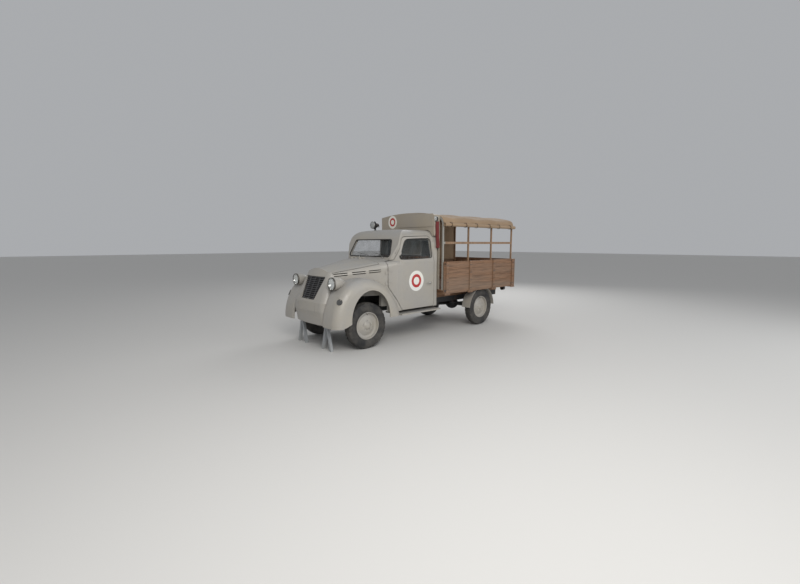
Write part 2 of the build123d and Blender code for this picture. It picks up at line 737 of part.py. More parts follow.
# Cab shell: cowl, pillars, roof, rear quarters and back wall with its window
with BuildPart() as cab_shell:
    add(cab_form(0))
    add(cab_form(cab_wall), mode=Mode.SUBTRACT)
    add(door_prism(door_gap), mode=Mode.SUBTRACT)
    add(mirror(door_prism(door_gap), about=Plane.XZ), mode=Mode.SUBTRACT)
    extrude(screen_outline(0), amount=400, mode=Mode.SUBTRACT)
    with BuildSketch(Plane.YZ.offset(cab_rear_x - 10)):
        with Locations((0, 1480)):
            RectangleRounded(640, 240, 40)
    extrude(amount=60, mode=Mode.SUBTRACT)
    with BuildSketch(Plane.YZ.offset(cowl_x - cab_wall - 10)):
        with Locations((0, 700)):
            Rectangle(2 * (hood_rear_half - 1.5 * cab_wall), 700)
    extrude(amount=cab_wall + 20, mode=Mode.SUBTRACT)
    split(bisect_by=Plane.XY.offset(cab_low), keep=Keep.TOP)
    with BuildSketch(Plane.XY.offset(cab_low - 10)):
        with Locations(((cowl_x + cab_rear_x) / 2, 0)):
            Rectangle(cowl_x - cab_rear_x + 20, 2 * (cab_half - 2 * cab_wall))
    extrude(amount=floor_z - cab_low, mode=Mode.SUBTRACT)
    add(door_pins())
    add(mirror(door_pins(), about=Plane.XZ))
    for y in hood_hinges:
        with BuildSketch(side_plane(y)):
            with Locations((cowl_x, hood_hinge_z)):
                Circle(hinge_r)
            with Locations((cowl_x - 25, hood_hinge_z - 19)):
                Rectangle(50, 38)
        extrude(amount=-barrel / 2)
        with BuildSketch(side_plane(y)):
            with Locations((cowl_x, hood_hinge_z)):
                Circle(hinge_pin_r)
        extrude(amount=barrel / 2, both=True)
cab_shell.part.label = "cab_shell"
export_step(cab_shell.part, "parts/cab_shell.step")

# Cab floor with the firewall in front of the feet and the box under the seat
seat_half = cab_half - 100
cushion_z = 815
with BuildPart() as cab_floor:
    add(cab_form(cab_wall + 0.5))
    with BuildSketch(Plane.XZ):
        with BuildLine():
            Polyline((cab_rear_x + 40, floor_z), (axle_x - 560, floor_z), (cowl_x - 50, floor_z + 260), (cowl_x - 50, 1150),
                     (cowl_x - 50 - floor_t, 1150), (cowl_x - 50 - floor_t, floor_z + 268), (axle_x - 568, floor_z + floor_t),
                     (cab_rear_x + 40, floor_z + floor_t), close=True)
        make_face()
    extrude(amount=1000, both=True, mode=Mode.INTERSECT)
    with BuildSketch(Plane.XY.offset(rail_top)):
        for side in (-1, 1):
            with Locations(((cab_rear_x + axle_x - 600) / 2, side * rail_y)):
                Rectangle(700, 60)
    extrude(amount=floor_z - rail_top)
    with BuildSketch(Plane.XY.offset(floor_z)):
        with Locations((axle_x - 1200, 0)):
            Rectangle(440, 2 * (seat_half - 20))
    extrude(amount=cushion_z - floor_z)
cab_floor.part.label = "cab_floor"
export_step(cab_floor.part, "parts/cab_floor.step")

# Windscreen and rear glass
with BuildPart() as cab_glass:
    extrude(screen_outline(-0.5), amount=500)
    with BuildSketch(Plane.XZ):
        with BuildLine():
            Polyline((axle_x - 545 - 20, 1322), (axle_x - 668 - 20, 1625), (axle_x - 668 - 20 - glass_t, 1625),
                     (axle_x - 545 - 20 - glass_t, 1322), close=True)
        make_face()
    extrude(amount=700, both=True, mode=Mode.INTERSECT)
    with BuildSketch(Plane.YZ.offset(cab_rear_x + 16)):
        with Locations((0, 1480)):
            RectangleRounded(639, 239, 40)
    extrude(amount=glass_t)
cab_glass.part.label = "cab_glass"
export_step(cab_glass.part, "parts/cab_glass.step")


def window_prism(grow):
    """Door window through the left side."""
    with BuildPart() as prism:
        with BuildSketch(side_plane(900)):
            add(rounded(window_outline, window_rounds))
            offset(amount=grow)
        extrude(amount=420)
    return prism.part


# Doors, front-hinged, with their window glass
with BuildPart() as door_left:
    add(cab_form(0))
    add(cab_form(cab_wall), mode=Mode.SUBTRACT)
    add(door_prism(0), mode=Mode.INTERSECT)
    add(window_prism(0.01), mode=Mode.SUBTRACT)
    for level in door_hinge_levels:
        with BuildSketch(hinge_plane(level + 1)):
            Circle(hinge_r)
            with Locations((-30, -11)):
                Rectangle(60, 12)
        extrude(amount=barrel)
        with BuildSketch(hinge_plane(level + 1)):
            Circle(hinge_pin_r + fit)
        extrude(amount=barrel, mode=Mode.SUBTRACT)
door_left.part.label = "door_left"
export_step(door_left.part, "parts/door_left.step")
with BuildPart() as door_right:
    add(mirror(door_left.part, about=Plane.XZ))
door_right.part.label = "door_right"
export_step(door_right.part, "parts/door_right.step")

with BuildPart() as door_glass_left:
    add(cab_form(16))
    add(cab_form(16 + glass_t), mode=Mode.SUBTRACT)
    add(window_prism(-0.5), mode=Mode.INTERSECT)
door_glass_left.part.label = "door_glass_left"
export_step(door_glass_left.part, "parts/door_glass_left.step")
with BuildPart() as door_glass_right:
    add(mirror(door_glass_left.part, about=Plane.XZ))
door_glass_right.part.label = "door_glass_right"
export_step(door_glass_right.part, "parts/door_glass_right.step")

# Dashboard across the cab under the windscreen
with BuildPart() as dashboard:
    add(cab_form(cab_wall + 0.5))
    with BuildSketch(Plane.XZ):
        with BuildLine():
            Polyline((axle_x - 480, 1150), (axle_x - 590, 1170), (axle_x - 600, 1262), (axle_x - 565, 1340),
                     (axle_x - 480, 1340), close=True)
        make_face()
    extrude(amount=1000, both=True, mode=Mode.INTERSECT)
    add(door_prism(20), mode=Mode.SUBTRACT)
    add(mirror(door_prism(20), about=Plane.XZ), mode=Mode.SUBTRACT)
dashboard.part.label = "dashboard"
export_step(dashboard.part, "parts/dashboard.step")

# Steering column with its wheel, on the left
steer_y = 330
steer_foot = Vector(axle_x - 500, steer_y, floor_z + 200)
steer_hub = Vector(axle_x - 830, steer_y, 1195)
steer_way = (steer_hub - steer_foot).normalized()
wheel_plane = Plane(origin=steer_hub, x_dir=(0, 1, 0), z_dir=steer_way)
foot_plane = Plane(origin=(axle_x - 472, steer_y, 618 + 1.5625 * 96), x_dir=(0, 1, 0), z_dir=(-250, 0, 160))
with BuildPart() as steering_column:
    with BuildSketch(Plane(origin=steer_foot, x_dir=(0, 1, 0), z_dir=steer_way)):
        Circle(19)
    extrude(amount=(steer_hub - steer_foot).length)
    with BuildSketch(foot_plane.offset(0.2)):
        Circle(42)
    extrude(amount=50)
    with BuildSketch(Plane(origin=steer_hub, x_dir=steer_way, z_dir=(0, 1, 0))):
        with Locations((0, 200)):
            Circle(13)
    revolve(axis=Axis(steer_hub, steer_way))
    with BuildSketch(wheel_plane.offset(-5)):
        with PolarLocations(96, 3, start_angle=90):
            Rectangle(200, 16)
    extrude(amount=10)
steering_column.part.label = "steering_column"
export_step(steering_column.part, "parts/steering_column.step")

# Bench seat: cushion and back, one soft solid on the seat box
with BuildPart() as seat:
    with BuildSketch(Plane.XZ):
        with Locations((axle_x - 1180, cushion_z + 70)):
            RectangleRounded(480, 140, 40)
    extrude(amount=seat_half, both=True)
    with BuildSketch(Plane.XZ):
        with BuildLine():
            Polyline((axle_x - 1310, 880), (axle_x - 1350, 1360), (axle_x - 1450, 1360), (axle_x - 1420, 880), close=True)
        make_face()
    extrude(amount=seat_half, both=True)
seat.part.label = "seat"
export_step(seat.part, "parts/seat.step")

# Running boards under the doors
with BuildPart() as running_boards:
    for side in (-1, 1):
        with BuildSketch(Plane.XY.offset(435)):
            with Locations(((wing_tail[0] - 2 + cab_rear_x) / 2, side * (rail_y + rail_w / 2 + 775) / 2)):
                Rectangle(wing_tail[0] - 2 - cab_rear_x, 775 - rail_y - rail_w / 2)
        extrude(amount=22)
        for x in (axle_x - 800, axle_x - 1300):
            with BuildSketch(Plane.XY.offset(457)):
                with Locations((x, side * (rail_y + rail_w / 2 + 60))):
                    Rectangle(40, 120)
            extrude(amount=60)
running_boards.part.label = "running_boards"
export_step(running_boards.part, "parts/running_boards.step")

# Bed floor: planks on cross bearers and two long sills over the rails
tail_hinge_x = tail_x + hinge_r
bed_rear_x = tail_hinge_x + batten_t + board_t + tail_gap
bearers = (bed_front_x - 60, bed_front_x - 700, rear_axle_x + 260, rear_axle_x - 280, bed_rear_x + 60)
side_hinge_y = bed_half + board_t + batten_t
side_hinges = (bed_front_x - 60, bed_front_x - 700, rear_axle_x - 280, bed_rear_x + 60)
tail_hinges = (-620, 0, 620)
with BuildPart() as bed_floor:
    with BuildSketch(Plane.XY.offset(floor_top - plank_t)):
        with Locations(((bed_front_x + bed_rear_x) / 2, 0)):
            Rectangle(bed_front_x - bed_rear_x, 2 * (bed_half - tail_gap))
    extrude(amount=plank_t - ledge_drop)
    with BuildSketch(Plane.XY.offset(floor_top - ledge_drop)):
        with Locations(((bed_front_x + bed_rear_x) / 2, 0)):
            Rectangle(bed_front_x - bed_rear_x, 2 * ledge_y)
    extrude(amount=ledge_drop)
    for x in bearers:
        with BuildSketch(Plane.XY.offset(hinge_z - 6)):
            with Locations((x, 0)):
                Rectangle(60, 2 * (bed_half - tail_gap))
        extrude(amount=floor_top - plank_t - hinge_z + 6)
    for side in (-1, 1):
        with BuildSketch(Plane.XY.offset(rail_top)):
            with Locations(((bed_front_x + bed_rear_x) / 2, side * rail_y)):
                Rectangle(bed_front_x - bed_rear_x, 60)
        extrude(amount=floor_top - plank_t - rail_top)
        for x in side_hinges:
            with BuildSketch(Plane.XY.offset(hinge_z - 6)):
                with Locations((x, side * (side_hinge_y + bed_half - 80) / 2)):
                    Rectangle(barrel, side_hinge_y - bed_half + 80)
            extrude(amount=12)
            with BuildSketch(Plane.YZ.offset(x - barrel / 2)):
                with Locations((side * side_hinge_y, hinge_z)):
                    Circle(hinge_r)
            extrude(amount=barrel)
            with BuildSketch(Plane.YZ.offset(x - 1.5 * barrel)):
                with Locations((side * side_hinge_y, hinge_z)):
                    Circle(hinge_pin_r)
            extrude(amount=3 * barrel)
    for y in tail_hinges:
        with BuildSketch(Plane.XY.offset(hinge_z - 6)):
            with Locations(((tail_hinge_x + bed_rear_x + 60) / 2, y)):
                Rectangle(bed_rear_x + 60 - tail_hinge_x, barrel)
        extrude(amount=12)
        with BuildSketch(side_plane(y)):
            with Locations((tail_hinge_x, hinge_z)):
                Circle(hinge_r)
        extrude(amount=barrel / 2, both=True)
        with BuildSketch(side_plane(y)):
            with Locations((tail_hinge_x, hinge_z)):
                Circle(hinge_pin_r)
        extrude(amount=1.5 * barrel, both=True)
bed_floor.part.label = "bed_floor"
export_step(bed_floor.part, "parts/bed_floor.step")

# Front wall of the load space; above the cab it steps forward as a raised panel with a flat board on it
board_left = 660
board_right = -200
with BuildPart() as front_wall:
    for inset in (0, wall_t):
        with BuildSketch(Plane.YZ.offset(bed_front_x + inset)):
            with BuildLine():
                half, side, crown = front_wall_half - inset, front_wall_side - inset, front_wall_crown - inset
                Polyline((half, side), (half, floor_top), (-half, floor_top), (-half, side))
                ThreePointArc((-half, side), (0, crown), (half, side))
            make_face()
        extrude(amount=front_wall_x - bed_front_x - 2 * inset, mode=Mode.ADD if inset == 0 else Mode.SUBTRACT)
    with BuildSketch(Plane.XZ):
        with Locations((bed_front_x + wall_t + 500, 1680 - 1000)):
            Rectangle(1000, 2000)
    extrude(amount=1000, both=True, mode=Mode.SUBTRACT)
    with BuildSketch(Plane.YZ.offset(front_wall_x - 1)):
        with Locations(((board_left + board_right) / 2, 1940)):
            Rectangle(board_left - board_right, 214)
    extrude(amount=12)
    add(cab_form(-12), mode=Mode.SUBTRACT)
front_wall.part.label = "front_wall"
export_step(front_wall.part, "parts/front_wall.step")

# Dropsides and tailgate: boards with grooved joints on battens, whose feet hold the hinge barrels
side_front_x = bed_front_x - 2
side_rear_x = bed_rear_x
board_rows = 4
board_pitch = (board_top - board_low) / board_rows
with BuildPart() as dropside_left:
    with BuildSketch(Plane.XY.offset(board_low)):
        with Locations(((side_front_x + side_rear_x) / 2, bed_half + board_t / 2)):
            Rectangle(side_front_x - side_rear_x, board_t)
    extrude(amount=board_top - board_low)
    for row in range(1, board_rows):
        with BuildSketch(Plane.YZ.offset(side_rear_x - 1)):
            with Locations((bed_half, board_low + row * board_pitch), (bed_half + board_t, board_low + row * board_pitch)):
                Rectangle(10, 6)
        extrude(amount=side_front_x - side_rear_x + 2, mode=Mode.SUBTRACT)
    for x in side_hinges:
        for end in (-1, 1):
            foot_x = x + end * (barrel + 1)
            with BuildSketch(Plane.XY.offset(hinge_z)):
                with Locations((foot_x, side_hinge_y - batten_t / 2)):
                    Rectangle(barrel, batten_t)
            extrude(amount=board_low - hinge_z)
            with BuildSketch(Plane.YZ.offset(foot_x - barrel / 2)):
                with Locations((side_hinge_y, hinge_z)):
                    Circle(hinge_r)
            extrude(amount=barrel)
            with BuildSketch(Plane.YZ.offset(foot_x - barrel / 2)):
                with Locations((side_hinge_y, hinge_z)):
                    Circle(hinge_pin_r + fit)
            extrude(amount=barrel, mode=Mode.SUBTRACT)
        with BuildSketch(Plane.XY.offset(board_low)):
            with Locations((x, side_hinge_y - batten_t / 2)):
                Rectangle(3 * barrel + 2, batten_t)
        extrude(amount=20)
        with BuildSketch(Plane.XY.offset(board_low)):
            with Locations((x, side_hinge_y - batten_t / 2)):
                Rectangle(batten_w, batten_t)
        extrude(amount=board_top - board_low)
dropside_left.part.label = "dropside_left"
export_step(dropside_left.part, "parts/dropside_left.step")
with BuildPart() as dropside_right:
    add(mirror(dropside_left.part, about=Plane.XZ))
dropside_right.part.label = "dropside_right"
export_step(dropside_right.part, "parts/dropside_right.step")

with BuildPart() as tailgate:
    with BuildSketch(Plane.XY.offset(board_low)):
        with Locations((tail_hinge_x + batten_t + board_t / 2, 0)):
            Rectangle(board_t, 2 * (bed_half + board_t))
    extrude(amount=board_top - board_low)
    for row in range(1, board_rows):
        with BuildSketch(Plane.XZ):
            with Locations((tail_hinge_x + batten_t, board_low + row * board_pitch),
                           (tail_hinge_x + batten_t + board_t, board_low + row * board_pitch)):
                Rectangle(10, 6)
        extrude(amount=bed_half + board_t + 1, both=True, mode=Mode.SUBTRACT)
    for y in tail_hinges:
        for end in (-1, 1):
            foot_y = y + end * (barrel + 1)
            with BuildSketch(Plane.XY.offset(hinge_z)):
                with Locations((tail_hinge_x + batten_t / 2, foot_y)):
                    Rectangle(batten_t, barrel)
            extrude(amount=board_low - hinge_z)
            with BuildSketch(side_plane(foot_y)):
                with Locations((tail_hinge_x, hinge_z)):
                    Circle(hinge_r)
            extrude(amount=barrel / 2, both=True)
            with BuildSketch(side_plane(foot_y)):
                with Locations((tail_hinge_x, hinge_z)):
                    Circle(hinge_pin_r + fit)
            extrude(amount=barrel / 2, both=True, mode=Mode.SUBTRACT)
        with BuildSketch(Plane.XY.offset(board_low)):
            with Locations((tail_hinge_x + batten_t / 2, y)):
                Rectangle(batten_t, 3 * barrel + 2)
        extrude(amount=20)
        with BuildSketch(Plane.XY.offset(board_low)):
            with Locations((tail_hinge_x + batten_t / 2, y)):
                Rectangle(batten_t, batten_w)
        extrude(amount=board_top - board_low)
tailgate.part.label = "tailgate"
export_step(tailgate.part, "parts/tailgate.step")

# Rear mudguards: rolled strips over the rear wheels, hung from the bed
guard_r = 372
guard_t = 6
with BuildPart() as rear_mudguards:
    for side in (-1, 1):
        with BuildSketch(side_plane(side * rear_wheel_y)):
            with Locations((rear_axle_x, tyre_r)):
                Circle(guard_r + guard_t)
                Circle(guard_r, mode=Mode.SUBTRACT)
            with Locations((rear_axle_x, tyre_r - 300)):
                Rectangle(1000, 640, mode=Mode.SUBTRACT)
            with Locations((rear_axle_x, (tyre_r + guard_r + floor_top - plank_t) / 2)):
                Rectangle(60, floor_top - plank_t - tyre_r - guard_r)
        extrude(amount=92, both=True)
rear_mudguards.part.label = "rear_mudguards"
export_step(rear_mudguards.part, "parts/rear_mudguards.step")


def hoop_outline(grow):
    """Hoop shape across the bed as a sketch face: straight legs, round shoulders, shallow crown."""
    half = hoop_half + grow
    with BuildSketch() as face:
        with BuildLine():
            Polyline((half, hoop_side_top + grow), (half, floor_top - 200), (-half, floor_top - 200), (-half, hoop_side_top + grow))
            ThreePointArc((-half, hoop_side_top + grow), (0, hoop_crown + grow), (half, hoop_side_top + grow))
        make_face()
        fillet(face.vertices().group_by(Axis.Y)[-1], 110)
    return face.sketch


# Hoops that carry the tilt, standing on the bed floor
hoops = (bed_front_x - 16, bed_front_x - 700, bed_front_x - 1400, bed_rear_x + 40)
with BuildPart() as tilt_hoops:
    for x in hoops:
        with BuildSketch(Plane.YZ.offset(x - hoop_w / 2)):
            add(hoop_outline(0))
            add(hoop_outline(-hoop_w), mode=Mode.SUBTRACT)
            with Locations((0, floor_top - ledge_drop - 200)):
                Rectangle(3000, 400, mode=Mode.SUBTRACT)
        extrude(amount=hoop_w)
    for side in (-1, 1):
        with BuildSketch(Plane.YZ.offset(hoops[-1])):
            with Locations((side * (hoop_half - hoop_w / 2), 1560)):
                Rectangle(18, 40)
        extrude(amount=hoops[0] - hoops[-1])
tilt_hoops.part.label = "tilt_hoops"
export_step(tilt_hoops.part, "parts/tilt_hoops.step")

# Canvas tilt: roof, closed right side and, on the left, the curtain rolled up under the roof edge
with BuildPart() as tilt_cover:
    with BuildSketch(Plane.YZ.offset(hoops[-1] - 30)):
        add(hoop_outline(2 + canvas_t))
        add(hoop_outline(2), mode=Mode.SUBTRACT)
        with Locations((0, 1180 - 1000)):
            Rectangle(3000, 2000, mode=Mode.SUBTRACT)
        with Locations((1000, 1890 - 1000)):
            Rectangle(2000, 2000, mode=Mode.SUBTRACT)
    extrude(amount=bed_front_x - hoops[-1] + 30)
    with BuildSketch(Plane.YZ.offset(hoops[-1] - 10)):
        with Locations((hoop_half + 2.1 + roll_r, 1872)):
            Circle(roll_r)
    extrude(amount=hoops[0] - hoops[-1] + 20)
    add(tilt_hoops.part, mode=Mode.SUBTRACT)
tilt_cover.part.label = "tilt_cover"
export_step(tilt_cover.part, "parts/tilt_cover.step")

# Spot lamp on the cab roof, towards the right
spot_x = axle_x - 1080
spot_y = 230 - cab_half
with BuildPart() as roof_lamp:
    with BuildSketch(Plane.XZ.offset(-spot_y)):
        with BuildLine():
            Polyline((spot_x + 60, 1880), (spot_x + 60, 1945), (spot_x + 20, 1950), (spot_x - 60, 1910), (spot_x - 70, 1880), close=True)
        make_face()
    revolve(axis=Axis((spot_x, spot_y, 1880), (1, 0, 0)))
    with BuildSketch(Plane.XY.offset(1730)):
        with Locations((spot_x, spot_y)):
            Circle(16)
    extrude(amount=110)
    add(cab_form(0), mode=Mode.SUBTRACT)
roof_lamp.part.label = "roof_lamp"
export_step(roof_lamp.part, "parts/roof_lamp.step")

# Tail lamps under the rear corners of the bed
with BuildPart() as tail_lamps:
    for side in (-1, 1):
        with BuildSketch(Plane.YZ.offset(bed_rear_x - 10)):
            with Locations((side * 560, hinge_z - 6 - 50)):
                Circle(42)
        extrude(amount=60)
        with BuildSketch(Plane.XY.offset(hinge_z - 6)):
            with Locations((bed_rear_x + 42, side * 560)):
                Rectangle(16, 30)
        extrude(amount=-30)
tail_lamps.part.label = "tail_lamps"
export_step(tail_lamps.part, "parts/tail_lamps.step")

# Stands under the front ends of the frame
stand_x = axle_x + 490
with BuildPart() as axle_stands:
    for side in (-1, 1):
        with BuildSketch(Plane.YZ.offset(stand_x - 20)):
            with BuildLine():
                Polyline((side * rail_y - 130, 0), (side * rail_y - 90, 0), (side * rail_y, 330), (side * rail_y + 90, 0),
                         (side * rail_y + 130, 0), (side * rail_y + 25, 400), (side * rail_y + 25, rail_z),
                         (side * rail_y - 25, rail_z), (side * rail_y - 25, 400), close=True)
            make_face()
        extrude(amount=40)
axle_stands.part.label = "axle_stands"
export_step(axle_stands.part, "parts/axle_stands.step")

# Wheels: pressed disc, rim, hub and brake drum in one turned piece; outward along +Y on the left
wheel_profile = [(62, 0), (62, 40), (46, 62), (40, 95), (16, 150), (22, 186), (rim_half_w, 193), (rim_half_w, rim_r),
                 (-rim_half_w, rim_r), (-rim_half_w, 193), (8, 184), (4, 150), (-10, 150), (-60, 150), (-60, 140),
                 (-20, 140), (-20, 45), (-hub_in, 45), (-hub_in, hub_bore_r + fit), (stub_reach + 5, hub_bore_r + fit),
                 (stub_reach + 5, 0)]
wheels = {
    "front_left": (axle_x, front_wheel_y, 1),
    "front_right": (axle_x, -front_wheel_y, -1),
    "rear_left": (rear_axle_x, rear_wheel_y, 1),
    "rear_right": (rear_axle_x, -rear_wheel_y, -1),
}
for place, (x, y, out) in wheels.items():
    with BuildPart() as wheel:
        with BuildSketch(spot(x, y, tyre_r)):
            with BuildLine():
                Polyline(*[(out * a, r) for a, r in wheel_profile], close=True)
            make_face()
        revolve(axis=Axis((x, y, tyre_r), (0, 1, 0)))
    wheel.part.label = "wheel_" + place
    export_step(wheel.part, f"parts/wheel_{place}.step")
    with BuildPart() as tyre:
        with BuildSketch(spot(x, y, tyre_r)):
            with BuildLine():
                Line((-52, rim_r), (52, rim_r))
                ThreePointArc((52, rim_r), (tyre_half_w, 268), (60, tyre_r - 12))
                ThreePointArc((60, tyre_r - 12), (0, tyre_r), (-60, tyre_r - 12))
                ThreePointArc((-60, tyre_r - 12), (-tyre_half_w, 268), (-52, rim_r))
            make_face()
        revolve(axis=Axis((x, y, tyre_r), (0, 1, 0)))
    tyre.part.label = "tyre_" + place
    export_step(tyre.part, f"parts/tyre_{place}.step")
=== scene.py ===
# %% [markdown]
# A light army ambulance truck, dressed for its portrait. The steel and the wood come from a
# drawing made in a CAD program, so every panel, wheel and hinge already has its size and its
# place. This lesson adds what the eye asks for next: paint that was brushed on, boards with
# grain, canvas that hangs, glass, trim and rubber. We start by loading the solids.

# %% Load the solids
import json
import math
import random

import bmesh
import bpy
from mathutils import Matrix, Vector


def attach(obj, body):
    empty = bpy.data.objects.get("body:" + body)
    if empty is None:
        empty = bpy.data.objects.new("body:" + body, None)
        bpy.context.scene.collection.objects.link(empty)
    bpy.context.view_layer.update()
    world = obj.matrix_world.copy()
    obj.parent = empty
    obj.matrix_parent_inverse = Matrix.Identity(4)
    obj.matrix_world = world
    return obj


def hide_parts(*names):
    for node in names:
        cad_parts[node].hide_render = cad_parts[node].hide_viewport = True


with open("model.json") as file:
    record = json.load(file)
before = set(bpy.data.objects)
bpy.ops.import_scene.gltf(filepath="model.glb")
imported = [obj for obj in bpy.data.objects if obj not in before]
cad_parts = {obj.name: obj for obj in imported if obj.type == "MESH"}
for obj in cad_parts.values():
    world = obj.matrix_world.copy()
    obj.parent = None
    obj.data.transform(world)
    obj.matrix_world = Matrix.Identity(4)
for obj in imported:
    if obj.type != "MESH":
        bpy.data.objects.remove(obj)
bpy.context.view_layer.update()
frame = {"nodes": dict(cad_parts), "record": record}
solids = frame["nodes"]

# %% [markdown]
# Finishes are small recipes of noise, stripes and ramps. Written node by node they are long,
# so we wrap one socket in a class that understands plus, minus and times. Then a recipe reads
# like a sum, and the class adds the Math nodes. Colours and directions use Mix and Vector Math,
# because a Math node would turn them grey.

# %% A socket that can be added and multiplied
class Signal:
    """One output of a finish's nodes, with arithmetic."""

    def __init__(self, finish, socket):
        self.finish, self.socket = finish, socket

    def wide(self, other):
        kinds = {self.socket.type, getattr(getattr(other, "socket", None), "type", "VALUE")}
        return bool(kinds & {"VECTOR", "RGBA"}) or isinstance(other, tuple)

    def sum(self, what, a, b):
        kind = "ShaderNodeVectorMath" if self.wide(b) or self.wide(a) else "ShaderNodeMath"
        return self.finish.node(kind, {"operation": what}, {0: a, 1: b})

    def __add__(self, other):
        return self.sum("ADD", self, other)

    def __radd__(self, other):
        return self.sum("ADD", other, self)

    def __sub__(self, other):
        return self.sum("SUBTRACT", self, other)

    def __rsub__(self, other):
        return self.sum("SUBTRACT", other, self)

    def __mul__(self, other):
        return self.sum("MULTIPLY", self, other)

    def __rmul__(self, other):
        return self.sum("MULTIPLY", other, self)

    def __getitem__(self, axis):
        return self.finish.node("ShaderNodeSeparateXYZ", {}, {0: self}, out="XYZ"[axis])

    def map(self, *ends):
        """Clamps and stretches the signal: from low, from high, to low, to high."""
        sockets = {0: self} | dict(zip((1, 2, 3, 4), ends))
        return self.finish.node("ShaderNodeMapRange", {"clamp": True}, sockets)

    def sine(self):
        return self.finish.node("ShaderNodeMath", {"operation": "SINE"}, {0: self})

    def ramp(self, *stops):
        """Colours the signal by (position, colour) stops."""
        return self.finish.node("ShaderNodeValToRGB", {"stops": stops}, {0: self})


print("signals add, subtract and multiply")

# %% [markdown]
# A finish keeps a material together with its main shader. Its node method makes any node from a
# type, its settings and its sockets. The methods after it are short names for the few nodes that
# most recipes start with: a place on the object, noise, a mix, cells and a bump.

# %% A finish and its recipe nodes
class Finish:
    """A material, its main shader and the recipe nodes in front of it."""

    def __init__(self, name, colour, rough, metal=0.0):
        self.material = bpy.data.materials.new(name)
        self.material.use_nodes = True
        self.tree = self.material.node_tree
        self.shader = self.tree.nodes["Principled BSDF"]
        self.set(Base_Color=(*colour, 1), Roughness=rough, Metallic=metal)

    def node(self, kind, settings, sockets, out=0):
        made = self.tree.nodes.new(kind)
        for key, value in settings.items():
            if key == "stops":
                bar = made.color_ramp.elements
                while len(bar) < len(value):
                    bar.new(0.5)
                for mark, (place, shade) in zip(bar, value):
                    mark.position, mark.color = place, (*shade, 1)
            else:
                setattr(made, key, value)
        for key, value in sockets.items():
            if isinstance(value, Signal):
                self.tree.links.new(value.socket, made.inputs[key])
            else:
                made.inputs[key].default_value = value
        return Signal(self, made.outputs[out])

    def set(self, **sockets):
        for key, value in sockets.items():
            target = self.shader.inputs[key.replace("_", " ")]
            if isinstance(value, Signal):
                self.tree.links.new(value.socket, target)
            else:
                target.default_value = value
        return self

    def place(self):
        return self.node("ShaderNodeTexCoord", {}, {}, out="Object")

    def noise(self, scale, detail=3.0, rough=0.55, stretch=None):
        at = self.place() * stretch if stretch else self.place()
        settings = {"Vector": at, "Scale": scale, "Detail": detail, "Roughness": rough}
        return self.node("ShaderNodeTexNoise", {}, settings)

    def mix(self, share, a, b):
        """Blends two colours by share."""
        return self.node("ShaderNodeMix", {"data_type": "RGBA"}, {0: share, 6: a, 7: b}, out=2)

    def cells(self, scale):
        """Distance to the nearest of many scattered points, for pebbles and dimples."""
        return self.node("ShaderNodeTexVoronoi", {}, {"Vector": self.place(), "Scale": scale}, out="Distance")

    def bump(self, height, depth):
        """Feeds a height, times a depth in metres, into the surface's direction."""
        raised = self.node("ShaderNodeBump", {}, {"Height": height, "Distance": depth, "Strength": 1.0})
        return self.set(Normal=raised)


print("finishes are ready")

# %% [markdown]
# The cab's paint was brushed over older coats, so it is uneven: big soft clouds of warmer and
# cooler grey, a fine ripple from the brush, and a cool veil on whatever faces the sky. That veil
# is partly chalky dust and partly painted light: a painted reflection of the sky, and on the grey
# paint a painted shade that darkens the tops. The sky share comes from the surface's own
# direction, which is the same from every camera.

# %% Painted steel
# dust sets the sky-facing veil, which is partly dust and partly painted sky reflection and shade.
def painted(name, base, rough=0.42, dust=0.35, ripple=0.0006):
    coat = Finish(name, base, rough)
    warm = tuple(min(1, c * k) for c, k in zip(base, (1.07, 1.04, 0.96)))
    dark = tuple(c * 0.80 for c in base)
    cloud = coat.noise(2.6, 4.0).map(0.35, 0.68, 0.0, 1.0)
    stain = coat.noise(14.0, 6.0, 0.68).map(0.56, 0.74, 0.0, 0.35)
    # Faces that look up take a cool colour: partly dust, partly a painted sky reflection and painted shade.
    sky = coat.node("ShaderNodeNewGeometry", {}, {}, out="Normal")[2].map(0.35, 1.0, 0.0, 1.0)
    dust_and_painted_sky = sky * coat.noise(9.0, 5.0, 0.6).map(0.3, 0.7, 0.25, 1.0) * dust
    colour = coat.mix(cloud, (*base, 1), (*warm, 1))
    colour = coat.mix(stain, colour, (*dark, 1))
    colour = coat.mix(dust_and_painted_sky, colour, (0.27, 0.30, 0.34, 1))
    patchy = coat.noise(30.0, 3.0).map(0.3, 0.7, rough - 0.07, rough + 0.12)
    coat.set(Base_Color=colour, Roughness=patchy + dust_and_painted_sky * 0.25)
    coat.bump(coat.noise(26.0, 3.0, 0.5, stretch=(0.5, 1.0, 2.6)), ripple)
    return coat.material


grey = painted("grey_paint", (0.345, 0.328, 0.302), 0.36)
print("painted steel:", grey.name)

# %% [markdown]
# Chassis steel, iron and exhaust pipes share one recipe: a dark coat with rust where noise
# says that the coat is thin. Only the two colours and the amount change.

# %% Dark and rusty metal
def rusty(name, coat_colour, rust_colour, amount, rough=0.55, metal=0.0):
    coat = Finish(name, coat_colour, rough, metal)
    thin = coat.noise(7.0, 8.0, 0.68).map(0.72 - amount * 0.3, 0.80 - amount * 0.2, 0.0, 1.0)
    speck = coat.noise(60.0, 4.0, 0.6).map(0.45, 0.65, 0.55, 1.0)
    rust = coat.mix(speck, (*[c * 0.55 for c in rust_colour], 1), (*rust_colour, 1))
    coat.set(Base_Color=coat.mix(thin, (*coat_colour, 1), rust), Roughness=thin.map(0.0, 1.0, rough, 0.9))
    coat.bump(thin * 0.6 + speck * 0.4, 0.0008)
    return coat.material


